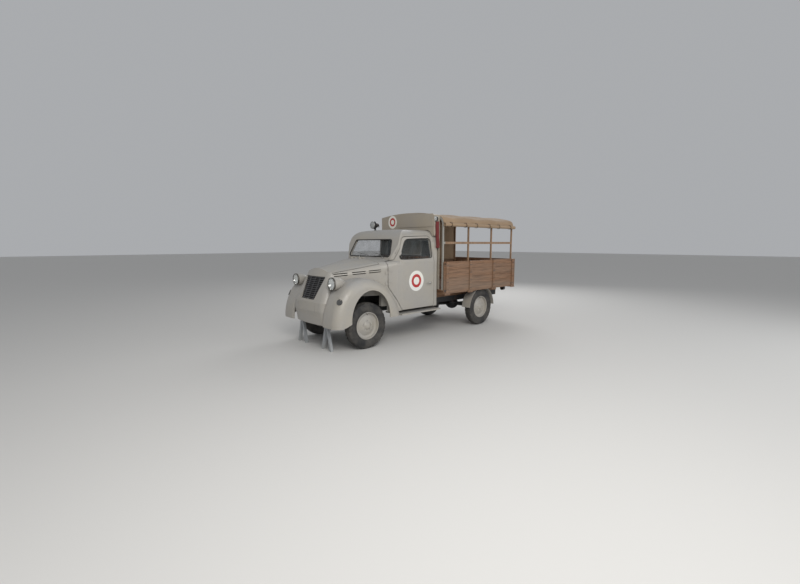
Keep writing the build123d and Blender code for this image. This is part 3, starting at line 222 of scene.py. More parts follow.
chassis_black = rusty("chassis_black", (0.020, 0.020, 0.021), (0.14, 0.065, 0.03), 0.35)
engine_iron = rusty("engine_iron", (0.045, 0.045, 0.045), (0.10, 0.06, 0.035), 0.45, 0.5, 0.4)
exhaust_steel = rusty("exhaust_steel", (0.09, 0.07, 0.06), (0.20, 0.085, 0.035), 1.0, 0.7, 0.3)
print("metals:", chassis_black.name, engine_iron.name, exhaust_steel.name)

# %% [markdown]
# Boards get their grain from noise that is stretched along the plank. The dropside boards run
# along the truck, the tailgate's run across it, and the hoops are bent round: stretching the
# grain by object coordinates needs the right direction for each, so the direction is a setting.
# The foremost hoop is painted grey with the wall that it stands against.

# %% Wood
def boards(name, along, light=(0.235, 0.128, 0.070), deep=(0.095, 0.048, 0.026), paint_ahead_of=None):
    wood = Finish(name, light, 0.62)
    stretch = tuple(1.6 if axis == along else 26.0 for axis in range(3))
    grain = wood.noise(2.4, 9.0, 0.62, stretch=stretch)
    streak = wood.noise(0.9, 4.0, 0.5, stretch=tuple(s * 3 if s > 2 else s for s in stretch))
    tone = wood.noise(0.8, 2.0, 0.5, stretch=tuple(0.4 if axis == along else 7.0 for axis in range(3)))
    body = grain.map(0.32, 0.70, 0.0, 1.0) * 0.6 + streak.map(0.35, 0.65, 0.0, 0.4)
    colour = body.ramp((0.0, deep), (0.55, light), (1.0, tuple(c * 1.35 for c in light)))
    worn = tone.map(0.45, 0.75, 0.0, 0.45)
    bare = wood.mix(worn, colour, (0.20, 0.165, 0.13, 1))
    if paint_ahead_of is not None:
        ahead = wood.place()[0].map(paint_ahead_of - 0.01, paint_ahead_of, 0.0, 1.0)
        chipped = ahead * body.map(0.10, 0.28, 0.2, 1.0)
        bare = wood.mix(chipped, bare, (0.31, 0.30, 0.27, 1))
    wood.set(Base_Color=bare, Roughness=0.75 - body * 0.23)
    wood.bump(body, 0.0012)
    return wood.material


wood_long = boards("wood_long", 0)
wood_across = boards("wood_across", 1)
wood_upright = boards("wood_upright", 2, (0.29, 0.18, 0.105), (0.14, 0.08, 0.045), paint_ahead_of=-0.06)
print("woods:", wood_long.name, wood_across.name, wood_upright.name)

# %% [markdown]
# Canvas is woven, so two sets of fine waves at right angles give the threads, and broad noise
# gives the fade of years in the sun. Leathercloth has a pebbled face from a cell pattern.

# %% Canvas and leathercloth
def canvas(name, colour, thread=900.0):
    cloth = Finish(name, colour, 0.92)
    place = cloth.place()
    warp = ((place[0] + place[1]) * thread).sine()
    weft = ((place[2] + place[1] * 0.5) * thread).sine()
    fade = cloth.noise(1.7, 5.0, 0.6).map(0.3, 0.72, 0.0, 1.0)
    spots = cloth.noise(11.0, 6.0, 0.7).map(0.58, 0.75, 0.0, 0.5)
    tone = cloth.mix(fade, (*[c * 0.84 for c in colour], 1), (*[min(1, c * 1.1) for c in colour], 1))
    cloth.set(Base_Color=cloth.mix(spots, tone, (*[c * 0.6 for c in colour], 1)), Sheen_Weight=0.08)
    cloth.bump(warp * weft, 0.0003)
    return cloth.material


def leathercloth(name, colour):
    hide = Finish(name, colour, 0.45)
    pebble = hide.cells(420.0)
    rubbed = hide.noise(5.0, 5.0, 0.6).map(0.52, 0.72, 0.0, 1.0)
    tone = hide.mix(rubbed, (*colour, 1), (*[c * 1.9 for c in colour], 1))
    hide.set(Base_Color=tone, Roughness=rubbed.map(0.0, 1.0, 0.42, 0.62))
    hide.bump(pebble, 0.0006)
    return hide.material


tan_canvas = canvas("tan_canvas", (0.320, 0.222, 0.138))
brown_leather = leathercloth("brown_leather", (0.085, 0.038, 0.018))
print("cloths:", tan_canvas.name, brown_leather.name)

# %% [markdown]
# Rubber and tyres are near black, but never quite: chalk and dust lighten them in patches.
# Glass is a thin coat that lets most light through, and the lamp lenses have upright flutes
# that break the bowl behind them into stripes.

# %% Rubber and glass
def rubbery(name, colour, dust):
    rubber = Finish(name, colour, 0.78)
    chalk = rubber.noise(6.0, 6.0, 0.65).map(0.35, 0.75, 0.0, dust)
    chalked = rubber.mix(chalk, (*colour, 1), (0.17, 0.155, 0.135, 1))
    rubber.set(Base_Color=chalked, Roughness=chalk.map(0.0, 1.0, 0.70, 0.95))
    rubber.bump(rubber.noise(240.0, 3.0), 0.0004)
    return rubber.material


def clear(name, colour, alpha, rough=0.04):
    glass = Finish(name, colour, rough)
    haze = glass.noise(8.0, 5.0, 0.6).map(0.4, 0.75, 0.0, 0.10)
    glass.set(Alpha=haze + alpha, Roughness=haze * 0.8 + rough, Specular_IOR_Level=0.7)
    return glass.material


tyre_black = rubbery("tyre_black", (0.016, 0.016, 0.017), 0.55)
soft_rubber = rubbery("soft_rubber", (0.012, 0.012, 0.012), 0.25)
window = clear("window", (0.16, 0.18, 0.185), 0.07)
lens = Finish("lens", (0.72, 0.75, 0.74), 0.08)
flutes = (lens.place()[1] * 520.0).sine()
lens.set(Alpha=0.55, Coat_Weight=0.5)
lens.bump(flutes, 0.0015)
print("rubbers:", tyre_black.name, soft_rubber.name, "glass:", window.name, lens.material.name)

# %% [markdown]
# Hard things that hands polish, such as nickel and bakelite, keep one colour, and only their
# gloss varies. The other small finishes are the painted steel again, with their own numbers.

# %% Small finishes
def polished(name, colour, rough, metal, scale, detail, bright, dull):
    """A hard finish of one colour whose gloss varies in patches."""
    hard = Finish(name, colour, rough, metal)
    hard.set(Roughness=hard.noise(scale, detail).map(0.3, 0.7, bright, dull))
    return hard.material


enamel = painted("black_enamel", (0.014, 0.014, 0.015), 0.28, 0.25, 0.0003)
slat_grey = painted("slat_grey", (0.075, 0.075, 0.080), 0.36, 0.2)
board_grey = painted("board_grey", (0.33, 0.295, 0.250), 0.5, 0.10, 0.0004)
stand_grey = painted("stand_grey", (0.30, 0.315, 0.33), 0.45, 0.4)
bakelite = polished("bakelite", (0.018, 0.015, 0.012), 0.22, 0.0, 20.0, 3.0, 0.16, 0.34)
print("small finishes are ready")

# %% [markdown]
# Every solid now takes its finish. The drawing already names a finish for each solid, so one
# short table from that name to a material is enough, and a second one sets the grain's way.

# %% Dress the solids
by_finish = {
    "grey_paint": grey, "board_paint": board_grey, "stand_paint": stand_grey, "grille_paint": slat_grey,
    "chassis_black": chassis_black, "engine_iron": engine_iron, "exhaust_steel": exhaust_steel,
    "lamp_glass": lens.material, "window_glass": window, "lamp_black": enamel, "bakelite": bakelite,
    "black_rubber": soft_rubber, "floor_rubber": soft_rubber, "tyre": tyre_black,
    "seat_leather": brown_leather, "wood": wood_long, "canvas": tan_canvas,
}
grain_way = {"tailgate": wood_across, "tilt_hoops": wood_upright}
for part in frame["record"]["subparts"]:
    solid = solids[part["node"]]
    solid.data.materials.clear()
    solid.data.materials.append(grain_way.get(part["node"], by_finish[part["material_slot"]]))
print("dressed:", len(frame["record"]["subparts"]))

# %% [markdown]
# The rest is made here. One maker turns a list of points and faces into a piece that rides on a
# body. Most points lie in rows, so a second one weaves the faces between neighbours, and closes
# the weave where the last row meets the first, or where each row meets itself.

# %% A piece, and the faces of a net
axle, wheelbase = 1.56, 2.70
rear_axle = axle - wheelbase
both_sides = (("left", 1), ("right", -1))
forward, backward, upward = (1, 0, 0), (-1, 0, 0), (0, 0, 1)
bpy.context.view_layer.update()


def piece(name, points, faces, material, body="truck", smooth=True):
    mesh = bpy.data.meshes.new(name)
    mesh.from_pydata([tuple(p) for p in points], [], faces)
    mesh.validate()
    mesh.materials.append(material)
    mesh.polygons.foreach_set("use_smooth", [smooth] * len(mesh.polygons))
    thing = bpy.data.objects.new(name, mesh)
    bpy.context.scene.collection.objects.link(thing)
    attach(thing, body)
    return thing


def neighbours(count, meet):
    """Pairs of numbers in a row; where the row closes, the last meets the first."""
    return [(k, (k + 1) % count) for k in range(count if meet else count - 1)]


def net(rows, columns, rows_meet=False, columns_meet=False):
    """Faces between points that are listed row by row."""
    return [(r * columns + c, r * columns + d, s * columns + d, s * columns + c)
            for r, s in neighbours(rows, rows_meet) for c, d in neighbours(columns, columns_meet)]


print("the front axle is at x =", axle, "and the rear one at", round(rear_axle, 2))

# %% [markdown]
# Round things are spun, as on a lathe: a profile turns about a line. The profile is a list of
# (distance along, radius) pairs. Smooth shading alone would blur the edges of such a piece, so
# an edge stays crisp where its two faces meet at a wide angle.

# %% Spun pieces
def frame_of(axis):
    """Two directions at right angles to an axis, and the axis itself."""
    axis = Vector(axis).normalized()
    side = axis.cross(Vector((0, 0, 1)) if abs(axis.z) < 0.9 else Vector((1, 0, 0))).normalized()
    return side, axis.cross(side), axis


def circle(count):
    """Angles all the way round, in equal steps."""
    return [2 * math.pi * k / count for k in range(count)]


def spun_points(profile, origin, axis, steps):
    side, up, along = frame_of(axis)
    points = []
    for a, r in profile:
        for turn in circle(steps):
            points.append(Vector(origin) + along * a + (side * math.cos(turn) + up * math.sin(turn)) * r)
    return points, net(len(profile), steps, columns_meet=True)


def sharpen(thing, degrees):
    """Keeps edges crisp where two faces meet at more than this angle."""
    form = bmesh.new()
    form.from_mesh(thing.data)
    bmesh.ops.remove_doubles(form, verts=form.verts, dist=1e-5)
    bmesh.ops.recalc_face_normals(form, faces=form.faces)
    for edge in form.edges:
        edge.smooth = len(edge.link_faces) == 2 and edge.calc_face_angle(0) < math.radians(degrees)
    form.to_mesh(thing.data)
    form.free()


def spun(name, profile, origin, axis, material, body="truck", steps=48):
    points, faces = spun_points(profile, origin, axis, steps)
    thing = piece(name, points, faces, material, body)
    sharpen(thing, 38)
    return thing


print("spun pieces are ready")

# %% [markdown]
# Rods, rubbers and straps are beads: an oval that is carried along a path, at right angles to
# it. A closed path makes a ring, and an open one gets a face at each end.

# %% Beads along a path
def bead(name, path, radius, material, body="truck", closed=False, flat=1.0, wide=None, sides=10):
    """A bead of oval section along a path; flat squeezes it, and wide names its broad way."""
    path = [Vector(p) for p in path]
    points, count = [], len(path)
    for k, at in enumerate(path):
        ahead = path[(k + 1) % count] if closed else path[min(k + 1, count - 1)]
        behind = path[k - 1] if closed else path[max(k - 1, 0)]
        side, rise, _ = frame_of(ahead - behind)
        if wide is not None:
            side = Vector(wide).normalized()
            rise = side.cross(ahead - behind).normalized()
        for turn in circle(sides):
            points.append(at + side * math.cos(turn) * radius + rise * math.sin(turn) * radius * flat)
    faces = net(count, sides, rows_meet=closed, columns_meet=True)
    if not closed:
        faces += [tuple(range(sides))[::-1], tuple((count - 1) * sides + s for s in range(sides))]
    return piece(name, points, faces, material, body)


print("beads are ready")

# %% [markdown]
# Two helpers find places. One rounds the corners of an outline with arcs and spaces its points.
# The other casts a ray at a solid, so that what we add lies on the real panel.

# %% Rounded outlines and rays
def rounded_loop(corners, rounds, step=0.012):
    """Points along a closed outline whose corners are arcs of the given radii."""
    loop, count = [], len(corners)
    for k, (corner, radius) in enumerate(zip(corners, rounds)):
        here = Vector(corner)
        back = (Vector(corners[k - 1]) - here).normalized()
        ahead = (Vector(corners[(k + 1) % count]) - here).normalized()
        half = back.angle(ahead) / 2
        middle = here + (back + ahead).normalized() * radius / math.sin(half)
        start, end = here + back * radius / math.tan(half), here + ahead * radius / math.tan(half)
        turns = max(3, int(radius * (math.pi - 2 * half) / step))
        a, b = start - middle, end - middle
        sweep = a.angle(b)
        shares = [t / turns for t in range(turns + 1)]
        loop += [middle + (a * math.sin((1 - t) * sweep) + b * math.sin(t * sweep)) / math.sin(sweep)
                 for t in shares]
    filled = []
    for k, point in enumerate(loop):
        after = loop[(k + 1) % len(loop)]
        parts = max(1, int((after - point).length / (step * 3)))
        filled += [point.lerp(after, p / parts) for p in range(parts)]
    return filled


def onto(node, start, way, lift=0.0):
    """Where a straight line from start meets a solid, lifted off it by a little."""
    hit, place, normal, _ = solids[node].ray_cast(Vector(start), Vector(way).normalized())
    if not hit:
        raise ValueError(f"no {node} in that direction from {tuple(start)}")
    return place + normal * lift


print("rounded outlines and rays are ready")

# %% [markdown]
# The windscreen sits in a thick black rubber, and each door window in a thinner one. Their
# outlines are the ones that the panels were cut with, so we repeat those few corners here and
# drop each point straight onto the panel with a ray. Then the rubber follows every curve. On
# the doors a few rounds of averaging take out the small steps between the rays' hits.

# %% Rubbers round the glass
screen_corners = [(-0.548, 1.340, 0), (-0.474, 1.612, 0), (0.474, 1.612, 0), (0.548, 1.340, 0)]
screen = rounded_loop(screen_corners, (0.045,) * 4)
path = [onto("cab_shell", (axle, p.x, p.y), backward, 0.001) for p in screen]
bead("screen_rubber", path, 0.0105, soft_rubber, closed=True, flat=0.8)
behind_and_up = ((0.628, 1.303), (0.790, 1.612), (1.345, 1.632), (1.360, 1.318))
window_corners = [(axle - behind, up, 0) for behind, up in behind_and_up]
window_line = rounded_loop(window_corners, (0.040, 0.120, 0.055, 0.040))
middle = sum(window_line, Vector()) / len(window_line)
for word, out in both_sides:
    grown = [p + (p - middle).normalized() * 0.006 for p in window_line]
    path = [onto("door_" + word, (p.x, out * 1.2, p.y), (0, -out, 0), -0.001) for p in grown]
    for _ in range(6):
        ahead = path[1:] + path[:1]
        depths = [path[k - 1].y / 4 + path[k].y / 2 + ahead[k].y / 4 for k in range(len(path))]
        path = [Vector((p.x, y, p.z)) for p, y in zip(path, depths)]
    bead("window_rubber_" + word, path, 0.0065, soft_rubber, "door_" + word, closed=True)
print("rubbers:", len(screen), "and", len(window_line), "points")

# %% [markdown]
# A thin gutter runs over each door, from the foot of the windscreen pillar to the back of the
# cab, and keeps the rain out of the gap. It is a flattened bead on the roof's side.

# %% Roof gutters
gutter_line = ((0.600, 1.392), (0.668, 1.545), (0.705, 1.640), (0.760, 1.688), (0.900, 1.704),
               (1.150, 1.710), (1.330, 1.704), (1.400, 1.672), (1.428, 1.560))
for word, out in both_sides:
    line = [(axle - behind, up) for behind, up in gutter_line]
    path = []
    for a, b in zip(line, line[1:]):
        path += [(a[0] + (b[0] - a[0]) * t / 6, a[1] + (b[1] - a[1]) * t / 6) for t in range(6)]
    path = [onto("cab_shell", (x, out * 1.2, z), (0, -out, 0), 0.002) for x, z in path]
    for _ in range(3):
        path = [path[0]] + [(a + b * 2 + c) / 4 for a, b, c in zip(path, path[1:], path[2:])] + [path[-1]]
    bead("gutter_" + word, path, 0.0055, grey, flat=0.9)
print("gutters: 2")

# %% [markdown]
# A headlamp is a pressed shell with a silvered bowl, a bulb, a fluted lens and a rim that holds
# them together. The drawing has closed bullets, so these hollow ones stand in for them. The
# flutes are real ridges in the lens, because they catch the light from every side.

# %% Headlamps
silver = polished("silvered_bowl", (0.80, 0.80, 0.78), 0.12, 1.0, 30.0, 3.0, 0.10, 0.22)
nickel = polished("worn_nickel", (0.50, 0.49, 0.46), 0.3, 1.0, 22.0, 5.0, 0.22, 0.5)
dulled = polished("dulled_rim", (0.16, 0.15, 0.135), 0.35, 0.9, 26.0, 5.0, 0.25, 0.55)
lamp_at = Vector((axle + 0.500, 0.520, 0.985))
shell_line = [(0.000, 0.088), (-0.004, 0.0918), (-0.025, 0.0918), (-0.060, 0.0905), (-0.100, 0.084),
              (-0.140, 0.0725), (-0.180, 0.055), (-0.215, 0.034), (-0.238, 0.016), (-0.248, 0.002)]
bowl_line = [(0.002, 0.085), (-0.010, 0.081), (-0.030, 0.068), (-0.048, 0.048), (-0.060, 0.026),
             (-0.064, 0.008)]
rim_line = [(-0.012, 0.0921), (0.004, 0.0921), (0.010, 0.0905), (0.0125, 0.087), (0.011, 0.083),
            (0.006, 0.0815)]
bulb_line = [(-0.064, 0.008), (-0.048, 0.009), (-0.040, 0.011), (-0.028, 0.009), (-0.022, 0.002)]
neck_line = [(-0.075, 0.030), (-0.090, 0.024), (-0.150, 0.024)]
lens_radius, dome, ridge_height = 0.084, 0.019, 0.0011
lens_line = [(0.004 + dome * (1 - (r / lens_radius) ** 2), max(r, 0.0005))
             for r in [lens_radius * (1 - k / 16) for k in range(17)]]
for word, out in both_sides:
    at = Vector((lamp_at.x, lamp_at.y * out, lamp_at.z))
    shell = spun("headlamp_shell_" + word, shell_line, at, forward, grey)
    spun("headlamp_bowl_" + word, bowl_line, at, forward, silver)
    spun("headlamp_rim_" + word, rim_line, at, forward, dulled)
    spun("headlamp_bulb_" + word, bulb_line, at, forward, window, steps=16)
    spun("headlamp_neck_" + word, neck_line, at + Vector((-0.100, 0, 0)), upward, grey, steps=24)
    glass_points, glass_faces = spun_points(lens_line, at, forward, 96)
    for p in glass_points:
        across = (p.y - at.y) / lens_radius
        p.x += ridge_height * math.cos(across * 42) * (1 - abs(across))
    cover = piece("headlamp_lens_" + word, glass_points, glass_faces, lens.material)
    if out == 1:
        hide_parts("headlamps")
        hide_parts("lamp_lenses")
print("headlamps: 2, each of 6 pieces")

# %% [markdown]
# Tyres of this age have round shoulders, ribs down the middle and small blocks at the edges.
# One profile is spun in steps round the wheel, and the steps between blocks are pushed in. The
# grooves are real, so the tread breaks the outline as a real one does.

# %% Tyres
def tyre_mesh(name, at, body):
    steps, block = 240, 8
    profile = [(0.052, 0.204), (0.058, 0.214), (0.067, 0.232), (0.0735, 0.255), (0.0745, 0.272),
               (0.0725, 0.290), (0.0705, 0.292), (0.0700, 0.296), (0.0675, 0.308), (0.0640, 0.320),
               (0.0600, 0.330), (0.0560, 0.3362), (0.0520, 0.3385), (0.0400, 0.3412), (0.0395, 0.3330),
               (0.0340, 0.3330), (0.0335, 0.3422), (0.0200, 0.3440), (0.0195, 0.3345), (0.0140, 0.3345),
               (0.0135, 0.3446), (0.0045, 0.3449), (0.0040, 0.3350)]
    profile = profile + [(-a, r) for a, r in reversed(profile)]
    points = []
    for k, turn in enumerate(circle(steps)):
        for a, r in profile:
            shoulder = 0.3200 < r and abs(a) > 0.0398
            groove = (k + (block // 2 if a < 0 else 0)) % block in (0, 1)
            depth = 0.008 if shoulder and groove else 0.0
            nick = 0.004 if 0.0196 < abs(a) < 0.0338 and (k + 2) % block == 0 and r > 0.34 else 0.0
            radius = r - depth - nick
            points.append((at[0] + radius * math.sin(turn), at[1] + a, at[2] + radius * math.cos(turn)))
    thing = piece(name, points, net(steps, len(profile), rows_meet=True), tyre_black, body)
    sharpen(thing, 32)
    return thing


hub_height = 0.345
wheel_spots = {"front_left": (axle, 0.635), "front_right": (axle, -0.635),
               "rear_left": (rear_axle, 0.665), "rear_right": (rear_axle, -0.665)}
for word, (x, y) in wheel_spots.items():
    tread = tyre_mesh("treaded_tyre_" + word, (x, y, hub_height), "wheel_" + word)
    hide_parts("tyre_" + word)
print("tyres:", len(wheel_spots), "with", len(tread.data.polygons), "faces each")

# %% [markdown]
# The wheel discs are in the drawing. They still need a domed hub cap, five nuts and a valve,
# small things that show at once when they are missing. Nuts are six-sided, with a bevelled top.

# %% Hub caps, nuts and valves
def from_spot(spot, *offsets):
    """Points that are given by their offsets from one spot."""
    return [spot + Vector(offset) for offset in offsets]


def nuts(name, spots, way, radius, height, material, body):
    """Hexagonal nuts with a bevel, all in one piece."""
    side, up, along = frame_of(way)
    points, faces = [], []
    for spot in spots:
        first = len(points)
        for a, r in ((0.0, 1.0), (0.75, 1.0), (1.0, 0.78)):
            for turn in circle(6):
                reach = side * math.cos(turn) + up * math.sin(turn)
                points.append(Vector(spot) + along * a * height + reach * r * radius)
        faces += [tuple(first + i for i in face) for face in net(3, 6, columns_meet=True)]
        faces.append(tuple(first + 12 + k for k in range(6)))
    return piece(name, points, faces, material, body, smooth=False)


cap_line = [(0.006, 0.0500), (0.012, 0.0490), (0.020, 0.0440), (0.0245, 0.0330), (0.0270, 0.0180),
            (0.0278, 0.0010)]
nut_circle = 0.071
nut_turns = [math.radians(90 + 72 * k) for k in range(5)]
for word, (x, y) in wheel_spots.items():
    out, body = math.copysign(1, y), "wheel_" + word
    hub = Vector((x, y, hub_height))
    spun("hub_cap_" + word, cap_line, hub + Vector((0, out * 0.040, 0)), (0, out, 0), grey, body)
    seats = [(nut_circle * math.cos(t), out * 0.036, nut_circle * math.sin(t)) for t in nut_turns]
    nuts("wheel_nuts_" + word, from_spot(hub, *seats), (0, out, 0), 0.0105, 0.014, nickel, body)
    stem = hub + Vector((0, out * 0.020, 0.176))
    stem_line = from_spot(stem, (0, 0, 0), (0, out * 0.016, -0.004), (0, out * 0.030, -0.010))
    bead("valve_" + word, stem_line, 0.0040, soft_rubber, body, sides=8)
print("hub caps and", 5 * len(wheel_spots), "nuts")

# %% [markdown]
# The tilt is one long piece of canvas. From the hem of its right side it goes up over the hoops
# and down to the left, where the loose side is rolled up tight under the roof's edge. We follow
# that line across the truck first, spiral and all. Its length is the width that the canvas was
# cut to.

# %% The tilt's line across the truck
roof_half, eave, crown, shoulder = 0.7585, 1.9865, 2.0945, 1.9000
rise = crown - eave
roof_radius = (roof_half ** 2 + rise ** 2) / (2 * rise)
corner_turn = math.asin(roof_half / roof_radius)
arch = [-corner_turn + 2 * corner_turn * k / 40 for k in range(41)]
roof_line = [(roof_radius * math.sin(t), crown - roof_radius + roof_radius * math.cos(t)) for t in arch]
roof_line = [p for p in roof_line if abs(p[0]) < 0.665]
bend = [math.radians(a) for a in (0, 12, 24, 36, 48, 60, 70)]
rounded_right = [(-roof_half + 0.115 * (1 - math.cos(t)), shoulder + 0.1125 * math.sin(t)) for t in bend]
rounded_left = [(-y, z) for y, z in reversed(rounded_right)]
section = [(-roof_half, 1.182 + 0.05 * k) for k in range(15)] + rounded_right + roof_line + rounded_left
roll_at, roll_turns, roll_steps = (0.7880, 1.8650), 3.5, 84
for k in range(1, roll_steps + 1):
    share = k / roll_steps
    turn = math.pi / 2 + 0.42 - share * roll_turns * 2 * math.pi
    radius = 0.0315 - 0.020 * share
    section.append((roll_at[0] + radius * math.cos(turn), roll_at[1] + radius * math.sin(turn)))
lengths = [0.0]
for a, b in zip(section, section[1:]):
    lengths.append(lengths[-1] + math.dist(a, b))
print("line:", len(section), "points,", round(lengths[-1], 2), "m")

# %% [markdown]
# Now the line is repeated along the truck. Between two hoops the cloth sinks a little, and
# shallow waves run over it. Their random lengths come from a seeded dice, so every run gives the
# same cloth. A solidify modifier makes the sheet as thick as canvas.

# %% The canvas tilt
hoop_at = [-0.016, -0.700, -1.400, -2.096]
tilt_front, tilt_rear = -0.002, -2.122
dice = random.Random(7)
waves = [(dice.uniform(2, 6), dice.uniform(8, 26), dice.uniform(0, 6.28), dice.uniform(0.3, 1.0))
         for _ in range(14)]
points, columns = [], 170
for c in range(columns + 1):
    x = tilt_front + (tilt_rear - tilt_front) * c / columns
    bay = next(((a, b) for a, b in zip(hoop_at, hoop_at[1:]) if b <= x <= a), None)
    free = math.sin(math.pi * (x - bay[1]) / (bay[0] - bay[1])) ** 2 if bay else 0.0
    for (y, z), s in zip(section, lengths):
        ripple = sum(w * math.sin(a * s + b * x + p) for a, b, p, w in waves) / (len(waves) / 2)
        if z > 1.93:
            roof_share = min(1.0, (z - 1.93) / 0.10)
            sag = roof_share * free * (0.016 + 0.010 * math.cos(y * 2.0))
            z = z - sag + ripple * 0.0040 * free * roof_share
            y = y * (1 - 0.004 * free * roof_share)
        elif y < 0 and z > 1.27:
            hang = min(1.0, (z - 1.27) / 0.10) * min(1.0, (1.95 - z) / 0.10)
            y = y - (0.0035 + 0.0050 * (0.5 + 0.5 * ripple)) * hang * free
        points.append((x, y, z))
outward = [(a, b, c, d) for a, d, c, b in net(columns + 1, len(section))]
tilt = piece("canvas_tilt", points, outward, tan_canvas)
thick = tilt.modifiers.new("cloth", "SOLIDIFY")
thick.thickness, thick.offset = 0.0022, 0.0
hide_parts("tilt_cover")
lengths[-1]
print("tilt:", len(points), "points, cut", round(lengths[-1], 2), "m across")

# %% [markdown]
# Leather straps hold the roll under the roof's edge, and brass eyelets run along the hem of the
# closed side, where a cord would be laced.

# %% Straps and eyelets
strap_leather = leathercloth("strap_leather", (0.060, 0.030, 0.016))
brass = polished("old_brass", (0.42, 0.30, 0.13), 0.38, 0.9, 40.0, 4.0, 0.30, 0.6)
for k, x in enumerate((-0.16, -0.55, -0.86, -1.25, -1.56, -1.95)):
    loop = []
    for turn in circle(28):
        reach = 0.0350 + (0.012 if 0.9 < turn < 1.9 else 0.0)
        loop.append((x, roll_at[0] + reach * math.cos(turn), roll_at[1] - 0.002 + reach * math.sin(turn)))
    bead(f"roll_strap_{k}", loop, 0.0120, strap_leather, closed=True, flat=0.16, wide=(1, 0, 0))
    ring = [(x + 0.011 * math.cos(a), roll_at[0] + 0.0375, roll_at[1] + 0.013 * math.sin(a))
            for a in circle(20)]
    bead(f"roll_buckle_{k}", ring, 0.0018, brass, closed=True, sides=8)
eyelet_line = [(0.0015, 0.0060), (0.0030, 0.0075), (0.0030, 0.0105), (0.0015, 0.0120)]
for k in range(9):
    spun(f"eyelet_{k}", eyelet_line, (-0.10 - 0.24 * k, -0.7600, 1.205), (0, -1, 0), brass, steps=20)
print("straps: 6, eyelets: 9")

# %% [markdown]
# The bench seat is stuffed, so it is made the way an upholsterer would think of it: a closed
# bag a little smaller than its place, blown up by cloth simulation so that its faces crown and
# its sides pull in, and then sewn down along the channels that split it into flutes.

# %% A stuffed pad
def stuffed(name, corner_low, corner_high, lean, limit):
    """A pad between two corners; lean moves its top along x; limit is how far a point may swell."""
    low, high = Vector(corner_low), Vector(corner_high)
    form = bmesh.new()
    bmesh.ops.create_cube(form, size=1.0)
    for v in form.verts:
        v.co = Vector([(l + h) / 2 + c * (h - l) for l, h, c in zip(low, high, v.co)])
        v.co.x += lean * (v.co.z - low.z) / (high.z - low.z)
    bmesh.ops.bevel(form, geom=form.edges[:], offset=0.030, segments=3, affect="EDGES", profile=0.6)
    mesh = bpy.data.meshes.new(name)
    form.to_mesh(mesh)
    form.free()
    pad = bpy.data.objects.new(name, mesh)
    bpy.context.scene.collection.objects.link(pad)
    grain = pad.modifiers.new("even mesh", "REMESH")
    grain.mode, grain.voxel_size = "VOXEL", 0.013
    bpy.context.view_layer.update()
    even = bpy.data.meshes.new_from_object(pad.evaluated_get(bpy.context.evaluated_depsgraph_get()))
    pad.modifiers.clear()
    pad.data = even
    start = [v.co.copy() for v in even.vertices]
    blow_steps = 14
    cloth = pad.modifiers.new("stuffing", "CLOTH")
    cloth.settings.use_pressure = True
    cloth.settings.uniform_pressure_force = 4.0
    cloth.settings.effector_weights.gravity = 0.0
    cloth.point_cache.frame_start, cloth.point_cache.frame_end = 1, blow_steps
    for step in range(1, blow_steps + 1):
        bpy.context.scene.frame_set(step)
    blown = pad.evaluated_get(bpy.context.evaluated_depsgraph_get())
    for v, fresh, old in zip(even.vertices, blown.data.vertices, start):
        move = fresh.co - old
        v.co = old + move * min(1.0, limit / max(move.length, 1e-9))
    pad.modifiers.clear()
    bpy.context.scene.frame_set(1)
    return pad


print("pads can be stuffed")

# %% [markdown]
# The channels are sewn after the stuffing, because the even mesh would swallow a seam that is
# narrower than its own squares. Near each channel the pad's front and top are pulled in.

# %% Sewn channels and the bench seat
def sewn(pad, low, high, flutes, across):
    """Pulls a pad in along its sewn channels; across is the axis that they are spaced on."""
    pitch = (high[across] - low[across]) / flutes
    centre = sum((v.co for v in pad.data.vertices), Vector()) / len(pad.data.vertices)
    pad.data.update()
    normals = [v.normal.copy() for v in pad.data.vertices]
    for v, normal in zip(pad.data.vertices, normals):
        near = ((v.co[across] - low[across]) / pitch + 0.5) % 1 - 0.5
        groove = math.exp(-(near * pitch / 0.016) ** 2)
        showing = max(0.0, normal.z * 0.9 + normal.x * 0.9) * (1 - abs(normal[across]))
        v.co -= normal * 0.012 * groove * min(1.0, showing)
    pad.data.polygons.foreach_set("use_smooth", [True] * len(pad.data.polygons))
    pad.modifiers.new("soft", "SUBSURF").render_levels = 1
    pad.data.materials.clear()
    pad.data.materials.append(brown_leather)
    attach(pad, "truck")


cushion_low, cushion_high = (axle - 1.405, -0.590, 0.826), (axle - 0.955, 0.590, 0.940)
cushion = stuffed("seat_cushion", cushion_low, cushion_high, 0.0, 0.016)
sewn(cushion, cushion_low, cushion_high, 10, 1)
back_low, back_high = (axle - 1.400, -0.590, 0.930), (axle - 1.325, 0.590, 1.345)
backrest = stuffed("seat_back", back_low, back_high, -0.035, 0.014)
sewn(backrest, back_low, back_high, 10, 1)
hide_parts("seat")
print("seat:", len(cushion.data.vertices) + len(backrest.data.vertices), "points")

# %% [markdown]
# Bolt heads are domes on washers. All bolts of one side are made as one piece, so that they
# turn with it.

# %% Bolt heads
iron_grey = rusty("dull_iron", (0.10, 0.10, 0.10), (0.16, 0.08, 0.04), 0.7, 0.6, 0.6)


def bolts(name, spots, way, radius, material, body):
    head = [(0.0, radius * 1.7), (radius * 0.25, radius * 1.65), (radius * 0.30, radius),
            (radius * 0.75, radius * 0.82), (radius * 0.95, radius * 0.35), (radius * 0.98, 0.0002)]
    points, faces = [], []
    for spot in spots:
        more, more_faces = spun_points(head, spot, way, 12)
        faces += [tuple(len(points) + i for i in f) for f in more_faces]
        points += more
    return piece(name, points, faces, material, body)


print("bolts are ready, in", iron_grey.name)

# %% [markdown]
# The boards of the dropsides are bolted to battens, two bolts to a board, and flat irons guard
# the corners, one near the upper edge and one near the lower.

